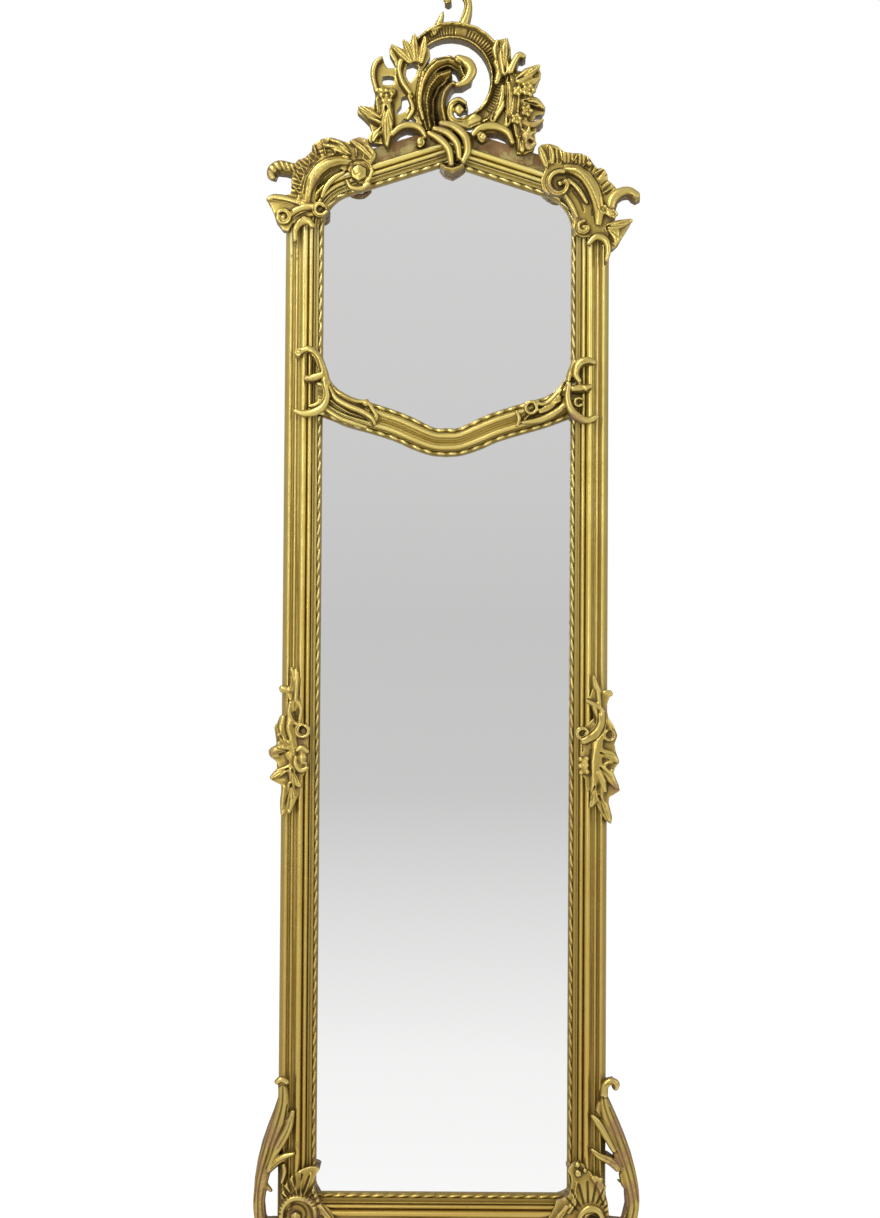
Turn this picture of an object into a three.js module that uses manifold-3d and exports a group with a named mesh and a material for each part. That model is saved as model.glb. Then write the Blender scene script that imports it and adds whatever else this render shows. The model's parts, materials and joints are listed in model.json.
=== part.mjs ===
import * as THREE from 'three';
import { mergeVertices } from 'three/addons/utils/BufferGeometryUtils.js';
import Module from 'manifold-3d';

const wasm = await Module();
wasm.setup();

// A gilt pier mirror in the rococo taste: two plates in a frame of reeded moulding, with carved
// ornament laid over its joints and a pierced crest on its raking top rails.
// Millimetres. x runs to the right, z up, and the mirror looks along -y. The wall is the plane y = 0,
// and a height is a distance in front of it.

// ---- Driving dimensions ----

// The clear openings
const sightHalfWidth = 187; // half of the clear width between the sight slips
const lowerSightHeight = 1100; // from the bottom slip to the low point of the cross rail
const crossRailDepth = 43; // the cross rail's own height on the centre line
const upperSideHeight = 301.5; // from the cross rail's high point to where the top corners start
const cornerRadius = 53; // of the sight edge in the top corners
const rakeAngle = THREE.MathUtils.degToRad(17.74); // fall of the top rails

// The moulding
const mouldingWidth = 57; // from the sight edge to the outer edge
const slipWidth = 7; // the ribbon-carved slip along the sight edge
const topRailWidth = 33; // the raking rails keep only the inner reeds
const sideHeight = 24; // of the moulding's outer side
const sightLip = 22; // height of the slip at the sight edge
const slipCrown = 30; // height of the slip's ribbon
const reedCrown = 42; // height of the large reed, the highest line of the moulding
const boardFaceHeight = 25; // of the plain pediment board

// The plates and what holds them
const rebateWidth = 15; // how far the rebate reaches out from the sight edge
const plateThickness = 3;
const backboardThickness = 5;
const backboardRecess = 9.4; // between the wall and the backboards
const crossRibHalfWidth = 4; // the rib of the cross rail between the two plates

// Clearances
const joint = 0.3; // between a piece and what it rests on or is cut by
const mitreGap = 0.2; // each side of a mitre
const plateClearance = 1; // round the plates and the backboards

// The crest's batten
const strutThickness = 8;
const strutWidth = 22;
const strutLength = 130;
const strutOffset = -27; // from the centre line, behind the plume
const strutRise = 9; // of its lower end above the apex of the sight edge
const strutScrewHeights = [18, 40, 92, 124]; // above the apex of the sight edge

// The hangers
const hangerDrop = 201.5; // of the ring's hinge below the start of the top corners
const hangerInset = 21; // of the hanger's middle from the outer edge
const ringRodRadius = 2;
const ringInnerWidth = 26;
const ringDrop = 25; // from the hinge to the middle of the rod at the bottom of the bow
const ringPlay = 0.3; // between the rod and the strap's loop
const strapWidth = 14;
const strapLength = 62;
const strapThickness = 1.2;
const strapScrewDrops = [35, 52]; // of the screws below the hinge
const screwHeadRadius = 3.6;
const screwHeadThickness = 1.8;
const screwShankRadius = 1.6;
const hangerScrewLength = 16;
const strutScrewLength = 24;

// Where the ornament sits
const ornamentFoot = 20; // its underside, which keeps clear of the plates
const crestFoot = strutThickness + joint; // the crest's back lies on the batten
const cartoucheOut = 13; // datum of the cartouches, from the sight edge and below the corner's start
const cartoucheDown = 1.5;
const claspOut = 13; // datum of the clasps, from the sight edge and below the cross rail's end
const claspDown = 3;
const mountOut = 33; // datum of the stile mounts
const mountHeight = 700;
const earOut = 6; // datum of the ears, outside the frame's outer edge
const shellOut = 13; // datum of the shells, from the bottom corner of the sight edge
const shellDown = 7;
const ornamentClearOfFloor = 1; // the carving at the foot ends this far above the frame's underside

// Facets
const cornerSteps = 4; // of a top corner's arc
const crossSteps = 10; // of the cross rail between the sight edges
const bowSteps = 8; // of a hanger ring's bow
const screwSides = 6;
const rodSides = 6;
const beadSides = 6;
const loopSegments = 6; // of the strap's loop

// ---- Levels and places that follow ----

const outerHalfWidth = sightHalfWidth + mouldingWidth;
const sillHeight = mouldingWidth;
const crossLow = sillHeight + lowerSightHeight;
const crossHigh = crossLow + crossRailDepth;
const springHeight = crossHigh + upperSideHeight;
const hangerHeight = springHeight - hangerDrop;
const arcCentreX = sightHalfWidth - cornerRadius;
const rakeRun = arcCentreX + cornerRadius * Math.sin(rakeAngle);
const apexHeight = springHeight + cornerRadius * Math.cos(rakeAngle) + rakeRun * Math.tan(rakeAngle);
const slipBack = backboardRecess + backboardThickness + joint + plateThickness + joint;
const plateReach = rebateWidth - plateClearance;
const memberStart = slipWidth + joint;
const topBack = strutThickness + joint;

// ---- Materials ----

const gilt = new THREE.MeshStandardMaterial({ color: 0xc9a64c, roughness: 0.38, metalness: 0.9 });
const silvered = new THREE.MeshStandardMaterial({ color: 0xe6e8e8, roughness: 0.04, metalness: 1 });
const backing = new THREE.MeshStandardMaterial({ color: 0x8a6a45, roughness: 0.8, metalness: 0 });
const steel = new THREE.MeshStandardMaterial({ color: 0x9a9790, roughness: 0.4, metalness: 1 });

// ---- Solids ----

const pieces = new THREE.Group();

// A boolean solid of a closed geometry, with its faces turned outwards.
function solidOf(geometry) {
  const bare = geometry.clone();
  bare.deleteAttribute('normal');
  bare.deleteAttribute('uv');
  const merged = mergeVertices(bare, 1e-4);
  const points = merged.attributes.position.array;
  const corners = Uint32Array.from(merged.index.array);
  if (signedVolume(points, corners) < 0) {
    for (let corner = 0; corner < corners.length; corner += 3) {
      [corners[corner], corners[corner + 1]] = [corners[corner + 1], corners[corner]];
    }
  }
  const mesh = new wasm.Mesh({ numProp: 3, vertProperties: Float32Array.from(points), triVerts: corners });
  return new wasm.Manifold(mesh);
}

function signedVolume(points, corners) {
  const [a, b, c] = [new THREE.Vector3(), new THREE.Vector3(), new THREE.Vector3()];
  let volume = 0;
  for (let corner = 0; corner < corners.length; corner += 3) {
    a.fromArray(points, corners[corner] * 3);
    b.fromArray(points, corners[corner + 1] * 3);
    c.fromArray(points, corners[corner + 2] * 3);
    volume += a.dot(b.cross(c)) / 6;
  }
  return volume;
}

function geometryOf(solid) {
  const mesh = solid.getMesh();
  const geometry = new THREE.BufferGeometry();
  geometry.setAttribute('position', new THREE.BufferAttribute(Float32Array.from(mesh.vertProperties), 3));
  geometry.setIndex(new THREE.BufferAttribute(Uint32Array.from(mesh.triVerts), 1));
  geometry.computeVertexNormals();
  return geometry;
}

function joined(solids) {
  return solids.reduce((whole, solid) => whole.add(solid));
}

function cutBy(solid, cutters) {
  return cutters.reduce((rest, cutter) => rest.subtract(cutter), solid);
}

// Adds a piece that was built in the frame's place, and sets it down by its own reference point.
function addPiece(name, solid, material, place = [0, 0, 0]) {
  const geometry = geometryOf(solid);
  geometry.translate(-place[0], -place[1], -place[2]);
  const mesh = new THREE.Mesh(geometry, material);
  mesh.name = name;
  mesh.position.set(...place);
  pieces.add(mesh);
}

// A closed geometry through a row of equal rings, capped at both ends. The section is the ring's
// outline in its own plane, which the caps are made from.
function loft(section, rings) {
  const size = section.length;
  const facing = THREE.ShapeUtils.isClockWise(section) ? -1 : 1;
  const index = [];
  for (let ring = 0; ring < rings.length - 1; ring += 1) {
    for (let side = 0; side < size; side += 1) {
      const near = ring * size + side;
      const next = ring * size + ((side + 1) % size);
      index.push(near, next, next + size, near, next + size, near + size);
    }
  }
  const last = (rings.length - 1) * size;
  for (const [a, b, c] of THREE.ShapeUtils.triangulateShape(section, [])) {
    const turned = THREE.ShapeUtils.area([section[a], section[b], section[c]]) * facing < 0;
    const [second, third] = turned ? [c, b] : [b, c];
    index.push(a, third, second);
    index.push(last + a, last + second, last + third);
  }
  const geometry = new THREE.BufferGeometry();
  const points = rings.flat().flatMap((point) => point.toArray());
  geometry.setAttribute('position', new THREE.BufferAttribute(Float32Array.from(points), 3));
  geometry.setIndex(index);
  return geometry;
}

// A flat plate of an outline in the x-z plane, between two heights.
function plate(outline, back, thickness, holes = []) {
  const shape = new THREE.Shape(outline);
  shape.holes = holes.map((hole) => new THREE.Path(hole));
  const geometry = new THREE.ExtrudeGeometry(shape, { depth: thickness, bevelEnabled: false });
  geometry.rotateX(Math.PI / 2);
  geometry.translate(0, -back, 0);
  return solidOf(geometry);
}

function box(width, depth, height, centre) {
  const geometry = new THREE.BoxGeometry(width, depth, height);
  geometry.translate(...centre);
  return solidOf(geometry);
}

// ---- Screws, hangers and rings ----

// A turned solid about an axis through [x, z], square to the wall. The profile is [radius, height].
function turned([x, z], profile) {
  const geometry = new THREE.LatheGeometry(
    profile.map(([radius, height]) => new THREE.Vector2(radius, height)),
    screwSides,
  );
  geometry.rotateX(Math.PI);
  geometry.translate(x, 0, z);
  return solidOf(geometry);
}

// A pan-head screw driven from behind. Its head's underside lies at the seat's height.
function screw(at, seat, length) {
  return turned(at, [
    [0, seat - screwHeadThickness],
    [screwHeadRadius * 0.8, seat - screwHeadThickness],
    [screwHeadRadius, seat],
    [screwShankRadius, seat],
    [screwShankRadius, seat + length - 2 * screwShankRadius],
    [0, seat + length],
  ]);
}

function bore([x, z], radius, from, to) {
  return turned([x, z], [[0, from], [radius, from], [radius, to], [0, to]]);
}

const boreRadius = screwShankRadius + joint;
const strutScrewSeat = screwHeadThickness + joint;
const strutScrewPlaces = strutScrewHeights.map((height) => [strutOffset, apexHeight + height]);
const strutBores = strutScrewPlaces.map((at) =>
  bore(at, boreRadius, 0, strutScrewSeat + strutScrewLength + joint),
);
const strapScrewSeat = -strapThickness - 2 * joint;
const strapScrewPlaces = (side) =>
  strapScrewDrops.map((drop) => [side * (outerHalfWidth - hangerInset), hangerHeight - drop]);
const strapBores = (side) =>
  strapScrewPlaces(side).map((at) =>
    bore(at, boreRadius, -strapThickness - 2 * joint, strapScrewSeat + hangerScrewLength + joint),
  );

// ---- The moulding's sections ----
// A section is written as points [distance out from the sight edge, height].

// The half-round back of a reed, from its sight side outwards.
function reed(centre, width, foot, crown, steps) {
  const points = [];
  for (let step = 0; step <= steps; step += 1) {
    const turn = (Math.PI * step) / steps;
    points.push([centre - (width / 2) * Math.cos(turn), foot + (crown - foot) * Math.sin(turn)]);
  }
  return points;
}

// The reeds from the dark groove beside the slip out to the large reed.
function innerReeds(bigSteps, smallSteps) {
  return [
    [memberStart, 26],
    [11.2, 26],
    ...reed(13.1, 3, 29, 33, 2),
    ...reed(18.7, 6.6, 31, 36.5, smallSteps),
    ...reed(28, 10, 33, reedCrown, bigSteps),
  ];
}

// The rest of the moulding: a ridge, the outer reed and the cove down to the side.
function outerReeds(smallSteps) {
  return [
    [35.5, 31.5],
    ...reed(39.5, 4.6, 32, 35, 2),
    [43.5, 31],
    ...reed(48.3, 6.5, 31, 36, smallSteps),
    [54, 29.5],
    [mouldingWidth, sideHeight],
  ];
}

// The back of a member, with its rebate for the plates.
function memberBack(width, back) {
  return [
    [width, back],
    [rebateWidth, back],
    [rebateWidth, slipBack],
    [memberStart, slipBack],
  ];
}

const stileSection = [...innerReeds(6, 4), ...outerReeds(4), ...memberBack(mouldingWidth, 0)];
const cornerSection = [...innerReeds(4, 3), ...outerReeds(3), ...memberBack(mouldingWidth, 0)];
const topRailSection = [...innerReeds(6, 4), ...memberBack(topRailWidth, topBack)];
const slipSection = [
  [0, slipBack],
  [0, sightLip],
  [1.2, 26],
  [3, slipCrown],
  [5.4, slipCrown],
  [slipWidth, 28.5],
  [slipWidth, slipBack],
];

// What lies over a member rests on its crowns: the plain outline over them, a joint's width clear.
function seatSection(outer, back) {
  return [
    [-joint, back - joint],
    [-joint, sightLip + 2],
    [2.5, slipCrown + joint],
    [24, reedCrown + joint],
    [33, reedCrown + joint],
    ...outer,
    [outer.at(-1)[0], back - joint],
  ];
}

const fullSeat = seatSection([[mouldingWidth + joint, reedCrown - 9]], 0);
const railSeat = seatSection([[topRailWidth + joint, reedCrown - 2]], topBack);

// ---- Members: a section laid along the sight edge ----

function asVectors(section) {
  return section.map(([out, height]) => new THREE.Vector2(out, height));
}

// place(out, station) gives the point [x, z] of the sight edge's parallel at that distance.
function member(section, stations, place) {
  const rings = stations.map((station) =>
    section.map(([out, height]) => {
      const [x, z] = place(out, station);
      return new THREE.Vector3(x, -height, z);
    }),
  );
  return solidOf(loft(asVectors(section), rings));
}

// An upright beside the opening, mitred at its foot where it meets the bottom rail.
function upright(section, side, foot, head) {
  return member(section, [foot, head], (out, station) => [
    side * (sightHalfWidth + out),
    station === 'mitre' ? sillHeight - out + mitreGap : station,
  ]);
}

function bottomMember(section) {
  return member(section, [-1, 1], (out, end) => [
    end * (sightHalfWidth + out - mitreGap),
    sillHeight - out,
  ]);
}

// The top corner's arc, from upright to rake. Stations are angles.
function cornerPlace(side) {
  return (out, angle) => [
    side * (arcCentreX + (cornerRadius + out) * Math.cos(angle)),
    springHeight + (cornerRadius + out) * Math.sin(angle),
  ];
}

// The rake, from the end of the corner's arc to the mitre on the centre line.
function rakePlace(side, startGap) {
  return (out, station) => {
    const startX = rakeRun + out * Math.sin(rakeAngle);
    const startZ = springHeight + (cornerRadius + out) * Math.cos(rakeAngle);
    const run = station === 'start' ? startGap : (startX - mitreGap) / Math.cos(rakeAngle);
    return [side * (startX - run * Math.cos(rakeAngle)), startZ + run * Math.sin(rakeAngle)];
  };
}

const rakeStart = Math.PI / 2 - rakeAngle;

function arcStations(steps) {
  return Array.from({ length: steps + 1 }, (_, step) => (rakeStart * step) / steps);
}

// The slip over a corner runs on along the rake in one length.
function topSlip(side) {
  const along = cornerPlace(side);
  const rake = rakePlace(side, 0);
  const stations = [...arcStations(cornerSteps), 'apex'];
  return member(slipSection, stations, (out, station) =>
    station === 'apex' ? rake(out, station) : along(out, station),
  );
}

// ---- The cross rail ----

// Rise of an edge of the cross rail above its low point, as [share of the half width, rise].
const crossTopRise = [
  [0, 0],
  [0.1, 1],
  [0.27, 16],
  [0.41, 26.5],
  [0.64, 40],
  [0.8, 49],
  [0.9, 63],
  [1, 88],
];
const crossBottomRise = [
  [0, 0],
  [0.12, 2],
  [0.27, 11],
  [0.4, 22],
  [0.53, 30],
  [0.8, 45],
  [1, 59],
];

// A smooth height over the half width, the same on both sides of the centre line.
function edgeRise(points) {
  const curve = new THREE.SplineCurve(points.map(([share, rise]) => new THREE.Vector2(share, rise)));
  return (x) => {
    const share = Math.min(Math.abs(x) / sightHalfWidth, 1);
    let low = 0;
    let high = 1;
    for (let halving = 0; halving < 24; halving += 1) {
      const middle = (low + high) / 2;
      if (curve.getPoint(middle).x < share) {
        low = middle;
      } else {
        high = middle;
      }
    }
    return curve.getPoint(low).y;
  };
}

const topRise = edgeRise(crossTopRise);
const bottomRise = edgeRise(crossBottomRise);

// A height inside the cross rail: the offset from its middle, which widens with the rail.
function crossHeight(x, offset) {
  const top = crossHigh + topRise(x);
  const bottom = crossLow + bottomRise(x);
  return (top + bottom) / 2 + (offset * (top - bottom)) / crossRailDepth;
}

const crossHalfDepth = crossRailDepth / 2;
const crossBodyHalf = crossHalfDepth - slipWidth - joint;
const crossHalfSection = [
  [0, 34.5],
  [2.6, 31],
  [4.2, 31],
  ...reed(8.6, 7.4, 31, 37, 3),
  [crossBodyHalf - 0.6, 27],
  [crossBodyHalf, 27],
  [crossBodyHalf, slipBack],
  [crossRibHalfWidth, slipBack],
  [crossRibHalfWidth, backboardRecess],
];

// Places along the cross rail: even steps over the clear width, then on to its ends.
function crossStations(reach) {
  const shares = Array.from({ length: crossSteps + 1 }, (_, step) => (2 * step) / crossSteps - 1);
  const inner = shares.map((share) => share * sightHalfWidth);
  return [-sightHalfWidth - reach, ...inner, sightHalfWidth + reach];
}

function crossMember(section) {
  return member(section, crossStations(slipWidth), (offset, x) => [x, crossHeight(x, offset)]);
}

function mirroredSection(half) {
  const other = half.filter(([offset]) => offset > 0).map(([offset, height]) => [-offset, height]);
  return [...half, ...other.reverse()];
}

function crossSlipSection(side) {
  return slipSection.map(([out, height]) => [side * (crossHalfDepth - out), height]);
}

const crossSeatSection = [
  [-crossHalfDepth - joint, slipBack],
  [-crossHalfDepth - joint, sightLip + 2],
  [-crossHalfDepth + 2.5, slipCrown + joint],
  [-11, 37 + joint],
  [11, 37 + joint],
  [crossHalfDepth - 2.5, slipCrown + joint],
  [crossHalfDepth + joint, sightLip + 2],
  [crossHalfDepth + joint, slipBack],
];

// ---- Frame ----

const crossEndTop = crossHeight(sightHalfWidth, crossHalfDepth);
const crossEndBottom = crossHeight(sightHalfWidth, -crossHalfDepth);

for (const [label, side] of [['left', -1], ['right', 1]]) {
  const foot = [side * outerHalfWidth, 0, 0];
  const stile = upright(stileSection, side, 'mitre', springHeight - joint);
  addPiece(`${label}_stile`, cutBy(stile, strapBores(side)), gilt, foot);
  const lowerSlip = upright(slipSection, side, 'mitre', crossEndBottom - joint);
  addPiece(`sight_slip_lower_${label}`, lowerSlip, gilt, [side * sightHalfWidth, 0, sillHeight]);
  const upperSlip = upright(slipSection, side, crossEndTop + joint, springHeight - joint);
  addPiece(`sight_slip_upper_${label}`, upperSlip, gilt, [side * sightHalfWidth, 0, crossEndTop]);
  const spring = [side * sightHalfWidth, 0, springHeight];
  const corner = member(cornerSection, arcStations(cornerSteps), cornerPlace(side));
  addPiece(`top_corner_${label}`, corner, gilt, spring);
  addPiece(`sight_slip_top_${label}`, topSlip(side), gilt, spring);
  const rail = member(topRailSection, ['start', 'apex'], rakePlace(side, joint));
  addPiece(`top_rail_${label}`, cutBy(rail, strutBores), gilt, [0, 0, apexHeight]);
}
addPiece('bottom_rail', bottomMember(stileSection), gilt);
addPiece('sight_slip_bottom', bottomMember(slipSection), gilt, [0, 0, sillHeight]);
addPiece('cross_rail', crossMember(mirroredSection(crossHalfSection)), gilt, [0, 0, crossLow]);
addPiece('sight_slip_cross_top', crossMember(crossSlipSection(1)), gilt, [0, 0, crossHigh]);
addPiece('sight_slip_cross_bottom', crossMember(crossSlipSection(-1)), gilt, [0, 0, crossLow]);

// The plain gable board above the raking rails.
function rakeLine(out, atApex) {
  return rakePlace(1, joint)(out, atApex ? 'apex' : 'start');
}

function gableOutline(reach) {
  const [inner, outer] = [topRailWidth + joint - reach, mouldingWidth + reach];
  const half = [rakeLine(inner, false), rakeLine(outer, false)];
  const otherHalf = half.map(([x, z]) => [-x, z]).reverse();
  const outline = [...half, [0, rakeLine(outer, true)[1]], ...otherHalf, [0, rakeLine(inner, true)[1]]];
  return outline.map(([x, z]) => new THREE.Vector2(x, z));
}

const boardPlace = [0, 0, apexHeight + mouldingWidth];
const board = plate(gableOutline(0), topBack, boardFaceHeight - topBack);
addPiece('pediment_board', cutBy(board, strutBores), gilt, boardPlace);

// The batten behind the crest, with its screws sunk in it.
const strutFoot = apexHeight + strutRise;
const strut = box(strutWidth, strutThickness, strutLength, [
  strutOffset,
  -strutThickness / 2,
  strutFoot + strutLength / 2,
]);
const headRooms = strutScrewPlaces.map((at) => bore(at, screwHeadRadius + joint, -joint, strutScrewSeat));
addPiece('crest_strut', cutBy(strut, [...headRooms, ...strutBores]), backing, [strutOffset, 0, strutFoot]);
strutScrewPlaces.forEach((at, index) => {
  addPiece(`strut_screw_${index + 1}`, screw(at, strutScrewSeat, strutScrewLength), steel, [at[0], 0, at[1]]);
});

// ---- Plates and backboards ----

// The outline of what lies in the rebate of one opening, by how far it reaches past the sight edge.
function crossEdge(offset, reach) {
  return crossStations(reach).map((x) => [x, crossHeight(x, offset)]);
}

function lowerOutline(reach) {
  const side = sightHalfWidth + reach;
  const bottom = sillHeight - reach;
  const top = crossEdge(-crossRibHalfWidth - plateClearance, reach);
  return [[side, bottom], ...top.reverse(), [-side, bottom]];
}

function upperOutline(reach) {
  const bottom = crossEdge(crossRibHalfWidth + plateClearance, reach);
  const corner = arcStations(cornerSteps).map((angle) => cornerPlace(1)(reach, angle));
  const apex = [0, rakeLine(reach, true)[1]];
  const otherCorner = corner.map(([x, z]) => [-x, z]).reverse();
  return [...bottom, ...corner, apex, ...otherCorner];
}

const plateBack = backboardRecess + backboardThickness + joint;
for (const [label, outline, base] of [
  ['lower', lowerOutline(plateReach), sillHeight],
  ['upper', upperOutline(plateReach), crossHigh],
]) {
  const points = outline.map(([x, z]) => new THREE.Vector2(x, z));
  const glass = plate(points, plateBack, plateThickness);
  addPiece(`${label}_mirror_plate`, glass, silvered, [0, -plateBack, base]);
  const backboard = plate(points, backboardRecess, backboardThickness);
  addPiece(`${label}_backboard`, backboard, backing, [0, -backboardRecess, base]);
}

// ---- The carver's strokes ----
// Ornament is a sawn panel with strokes laid on it. A stroke follows a line [x, z], has a section
// across it and stands between its foot and its rise, which are heights in front of the wall. Each
// is a function of how much it is grown, so that the same form can cut the room a neighbour leaves.
// The strokes are drawn for a moulding 57 wide, and grow with it.

const carvingScale = mouldingWidth / 57;
const drawnFoot = ornamentFoot / carvingScale;

const domed = [[-0.5, 0], [-0.36, 0.74], [0, 1], [0.36, 0.74], [0.5, 0]];
const ridged = [[-0.5, 0], [0, 1], [0.5, 0]];
const veined = [[-0.5, 0], [-0.4, 0.8], [-0.16, 0.66], [0, 1], [0.16, 0.66], [0.4, 0.8], [0.5, 0]];
const coved = [
  [-0.5, 0], [-0.5, 0.86], [-0.38, 1], [-0.24, 0.72], [0.24, 0.72], [0.38, 1], [0.5, 0.86], [0.5, 0],
];

// The value at a share of the way through a list of evenly spaced values.
function along(values, share) {
  const list = [values].flat();
  const spot = share * (list.length - 1);
  const before = Math.min(Math.floor(spot), Math.max(list.length - 2, 0));
  const after = Math.min(before + 1, list.length - 1);
  return THREE.MathUtils.lerp(list[before], list[after], spot - before);
}

// A section without its hollows, which is what a neighbour keeps clear of.
function crowned(section) {
  const tallest = (points) => Math.max(...points.map((point) => point[1]));
  return section.filter(([, up], spot) => {
    const [before, after] = [section.slice(0, spot + 1), section.slice(spot)];
    return up >= Math.min(tallest(before), tallest(after));
  });
}

function sweep(path, { width, rise, foot, section: carvedSection, steps }) {
  return (grow) => {
    const section = grow > 0 ? crowned(carvedSection) : carvedSection;
    const rings = [];
    for (let step = 0; step <= steps; step += 1) {
      const share = step / steps;
      const point = path(share);
      const tangent = path(Math.min(share + 1e-3, 1)).sub(path(Math.max(share - 1e-3, 0))).normalize();
      const reach = step === 0 ? -grow : step === steps ? grow : 0;
      const wide = along(width, share) + 2 * grow;
      const top = along(rise, share) + grow;
      rings.push(
        section.map(([across, up]) => {
          const x = point.x - tangent.y * across * wide + tangent.x * reach;
          const z = point.y + tangent.x * across * wide + tangent.y * reach;
          return new THREE.Vector3(x, -(up > 0 ? foot + (top - foot) * up : foot - grow), z);
        }),
      );
    }
    return loft(asVectors(section), rings);
  };
}

// A stroke along a smooth line.
function strand(line, width, rise, { foot = drawnFoot, section = domed, steps = 5 } = {}) {
  const curve = new THREE.SplineCurve(line.map(([x, z]) => new THREE.Vector2(x, z)));
  return sweep((share) => curve.getPointAt(share), { width, rise, foot, section, steps });
}

// A leaf that swells from its root and runs out to a tip.
function leaf(root, bend, tip, width, rise, { foot = drawnFoot, section = ridged, steps = 2 } = {}) {
  const [start, middle, end] = [root, bend, tip].map(([x, z]) => new THREE.Vector2(x, z));
  const curve = new THREE.QuadraticBezierCurve(start, middle, end);
  const widths = [0.7, 1, 0.8, 0.16].map((share) => share * width);
  const form = { width: widths, rise: [rise - 2, rise, rise, rise - 4], foot, section, steps };
  return sweep((share) => curve.getPoint(share), form);
}

// A C-scroll or volute about a centre, between two angles in degrees.
function scroll(centre, radius, from, to, width, rise, form = {}) {
  const { foot = drawnFoot, section = domed, steps = 8 } = form;
  const path = (share) => {
    const angle = THREE.MathUtils.degToRad(THREE.MathUtils.lerp(from, to, share));
    const reach = along(radius, share);
    return new THREE.Vector2(centre[0] + reach * Math.cos(angle), centre[1] + reach * Math.sin(angle));
  };
  return sweep(path, { width, rise, foot, section, steps });
}

// A round boss or berry.
function bead([x, z], radius, rise, { foot = drawnFoot } = {}) {
  return (grow) => {
    const wide = radius + grow;
    const height = rise + 2 * grow - foot;
    const outline = [[0, 0], [wide, 0], [wide * 0.8, height * 0.8], [0, height]];
    const geometry = new THREE.LatheGeometry(
      outline.map(([out, up]) => new THREE.Vector2(out, up)),
      beadSides,
    );
    geometry.rotateX(Math.PI);
    geometry.translate(x, grow - foot, z);
    return geometry;
  };
}

// A panel sawn to a smooth outline, pierced by its holes.
function panel(outline, top, count, { foot = drawnFoot, holes = [] } = {}) {
  const smooth = (points, total) => {
    const corners = points.map(([x, z]) => new THREE.Vector3(x, z, 0));
    const curve = new THREE.CatmullRomCurve3(corners, true, 'centripetal');
    return curve.getPoints(total).slice(0, -1).map(({ x, y }) => new THREE.Vector2(x, y));
  };
  const widened = (points, grow) => {
    const facing = THREE.ShapeUtils.isClockWise(points) ? -1 : 1;
    return points.map((point, spot) => {
      const lead = points[(spot + 1) % points.length].clone().sub(points.at(spot - 1)).normalize();
      return new THREE.Vector2(point.x + facing * grow * lead.y, point.y - facing * grow * lead.x);
    });
  };
  return (grow) => {
    const shape = new THREE.Shape(widened(smooth(outline, count), grow));
    shape.holes = holes.map((hole) => new THREE.Path(smooth(hole, hole.length)));
    const depth = top - foot + 2 * grow;
    const geometry = new THREE.ExtrudeGeometry(shape, { depth, bevelEnabled: false });
    geometry.rotateX(Math.PI / 2);
    geometry.translate(0, grow - foot, 0);
    return geometry;
  };
}

// Strokes set down at a datum. Side -1 mirrors them about the centre line.
function carved(strokes, [side, out, up], grow = 0) {
  const placing = new THREE.Matrix4();
  placing.makeScale(side * carvingScale, carvingScale, carvingScale).setPosition(side * out, 0, up);
  return joined(strokes.map((stroke) => solidOf(stroke(grow).applyMatrix4(placing))));
}

// ---- What the ornament is seated on ----

const seats = { '-1': [], 1: [] };
for (const side of [-1, 1]) {
  const stile = upright(fullSeat, side, -mouldingWidth, springHeight + joint);
  const corner = member(fullSeat, arcStations(cornerSteps), cornerPlace(side));
  const rail = member(railSeat, ['start', 'apex'], rakePlace(side, -joint));
  seats[side].push(stile, corner, rail);
}
const bottomSeat = member(fullSeat, [-1, 1], (out, end) => [end * outerHalfWidth, sillHeight - out]);
const crossSeat = crossMember(crossSeatSection);
const boardSeat = plate(gableOutline(joint), -joint, boardFaceHeight + 2 * joint);
const belowFloor = [0, 0, ornamentClearOfFloor - mouldingWidth / 2];
const floorCut = box(4 * outerHalfWidth, 4 * mouldingWidth, mouldingWidth, belowFloor);

// ---- The crest ----

const crestDatum = [1, 0, apexHeight];
const crestPlace = [0, -crestFoot, apexHeight];
const back = { foot: crestFoot / carvingScale };

// The clasp drops over the mitre of the top rails.
const claspStrokes = [
  strand([[-4, 57], [14, 50], [26, 32], [28, 12], [20, -3]], [11, 14, 14, 12, 9], [50, 56, 58, 56, 50], {
    steps: 6,
  }),
  strand([[-14, 48], [4, 39], [15, 22], [14, 0]], [11, 13, 12, 9], [50, 57, 58, 52]),
  strand([[-26, 42], [-9, 29], [3, 12], [4, -8]], [9, 12, 12, 9], [48, 55, 57, 52]),
  strand([[-11, -4], [4, -13], [24, -4]], [9, 15, 10], [48, 54, 48], { steps: 4 }),
];

// The plume: an outer roll, a channel, the barred cove, the smooth inner rib and the curled lip.
const plumeStrokes = [
  strand(
    [[-32, 50], [-42, 88], [-39, 120], [-26, 144], [-4, 156], [17, 147], [24, 130]],
    [12, 19, 21, 23, 24, 22, 16],
    [36, 40, 44, 46, 48, 46, 42],
    { ...back, steps: 9 },
  ),
  strand([[-27, 50], [-33, 90], [-28, 114], [-15, 130], [4, 137]], [9, 10, 13, 20, 18], [40, 44, 49, 50, 46], {
    ...back,
    steps: 5,
  }),
  strand([[-19, 50], [-24, 86], [-18, 110], [2, 130]], [14, 17, 19, 16], [36, 38, 40, 40], {
    ...back,
    steps: 4,
    section: ridged,
  }),
  strand([[-4, 58], [-10, 84], [-5, 107], [10, 122]], [16, 18, 17, 12], [44, 50, 52, 48], {
    ...back,
    steps: 6,
  }),
  strand([[18, 154], [31, 140], [27, 122], [8, 116]], [9, 13, 14, 8], [48, 54, 56, 52], { ...back, steps: 5 }),
];

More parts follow.
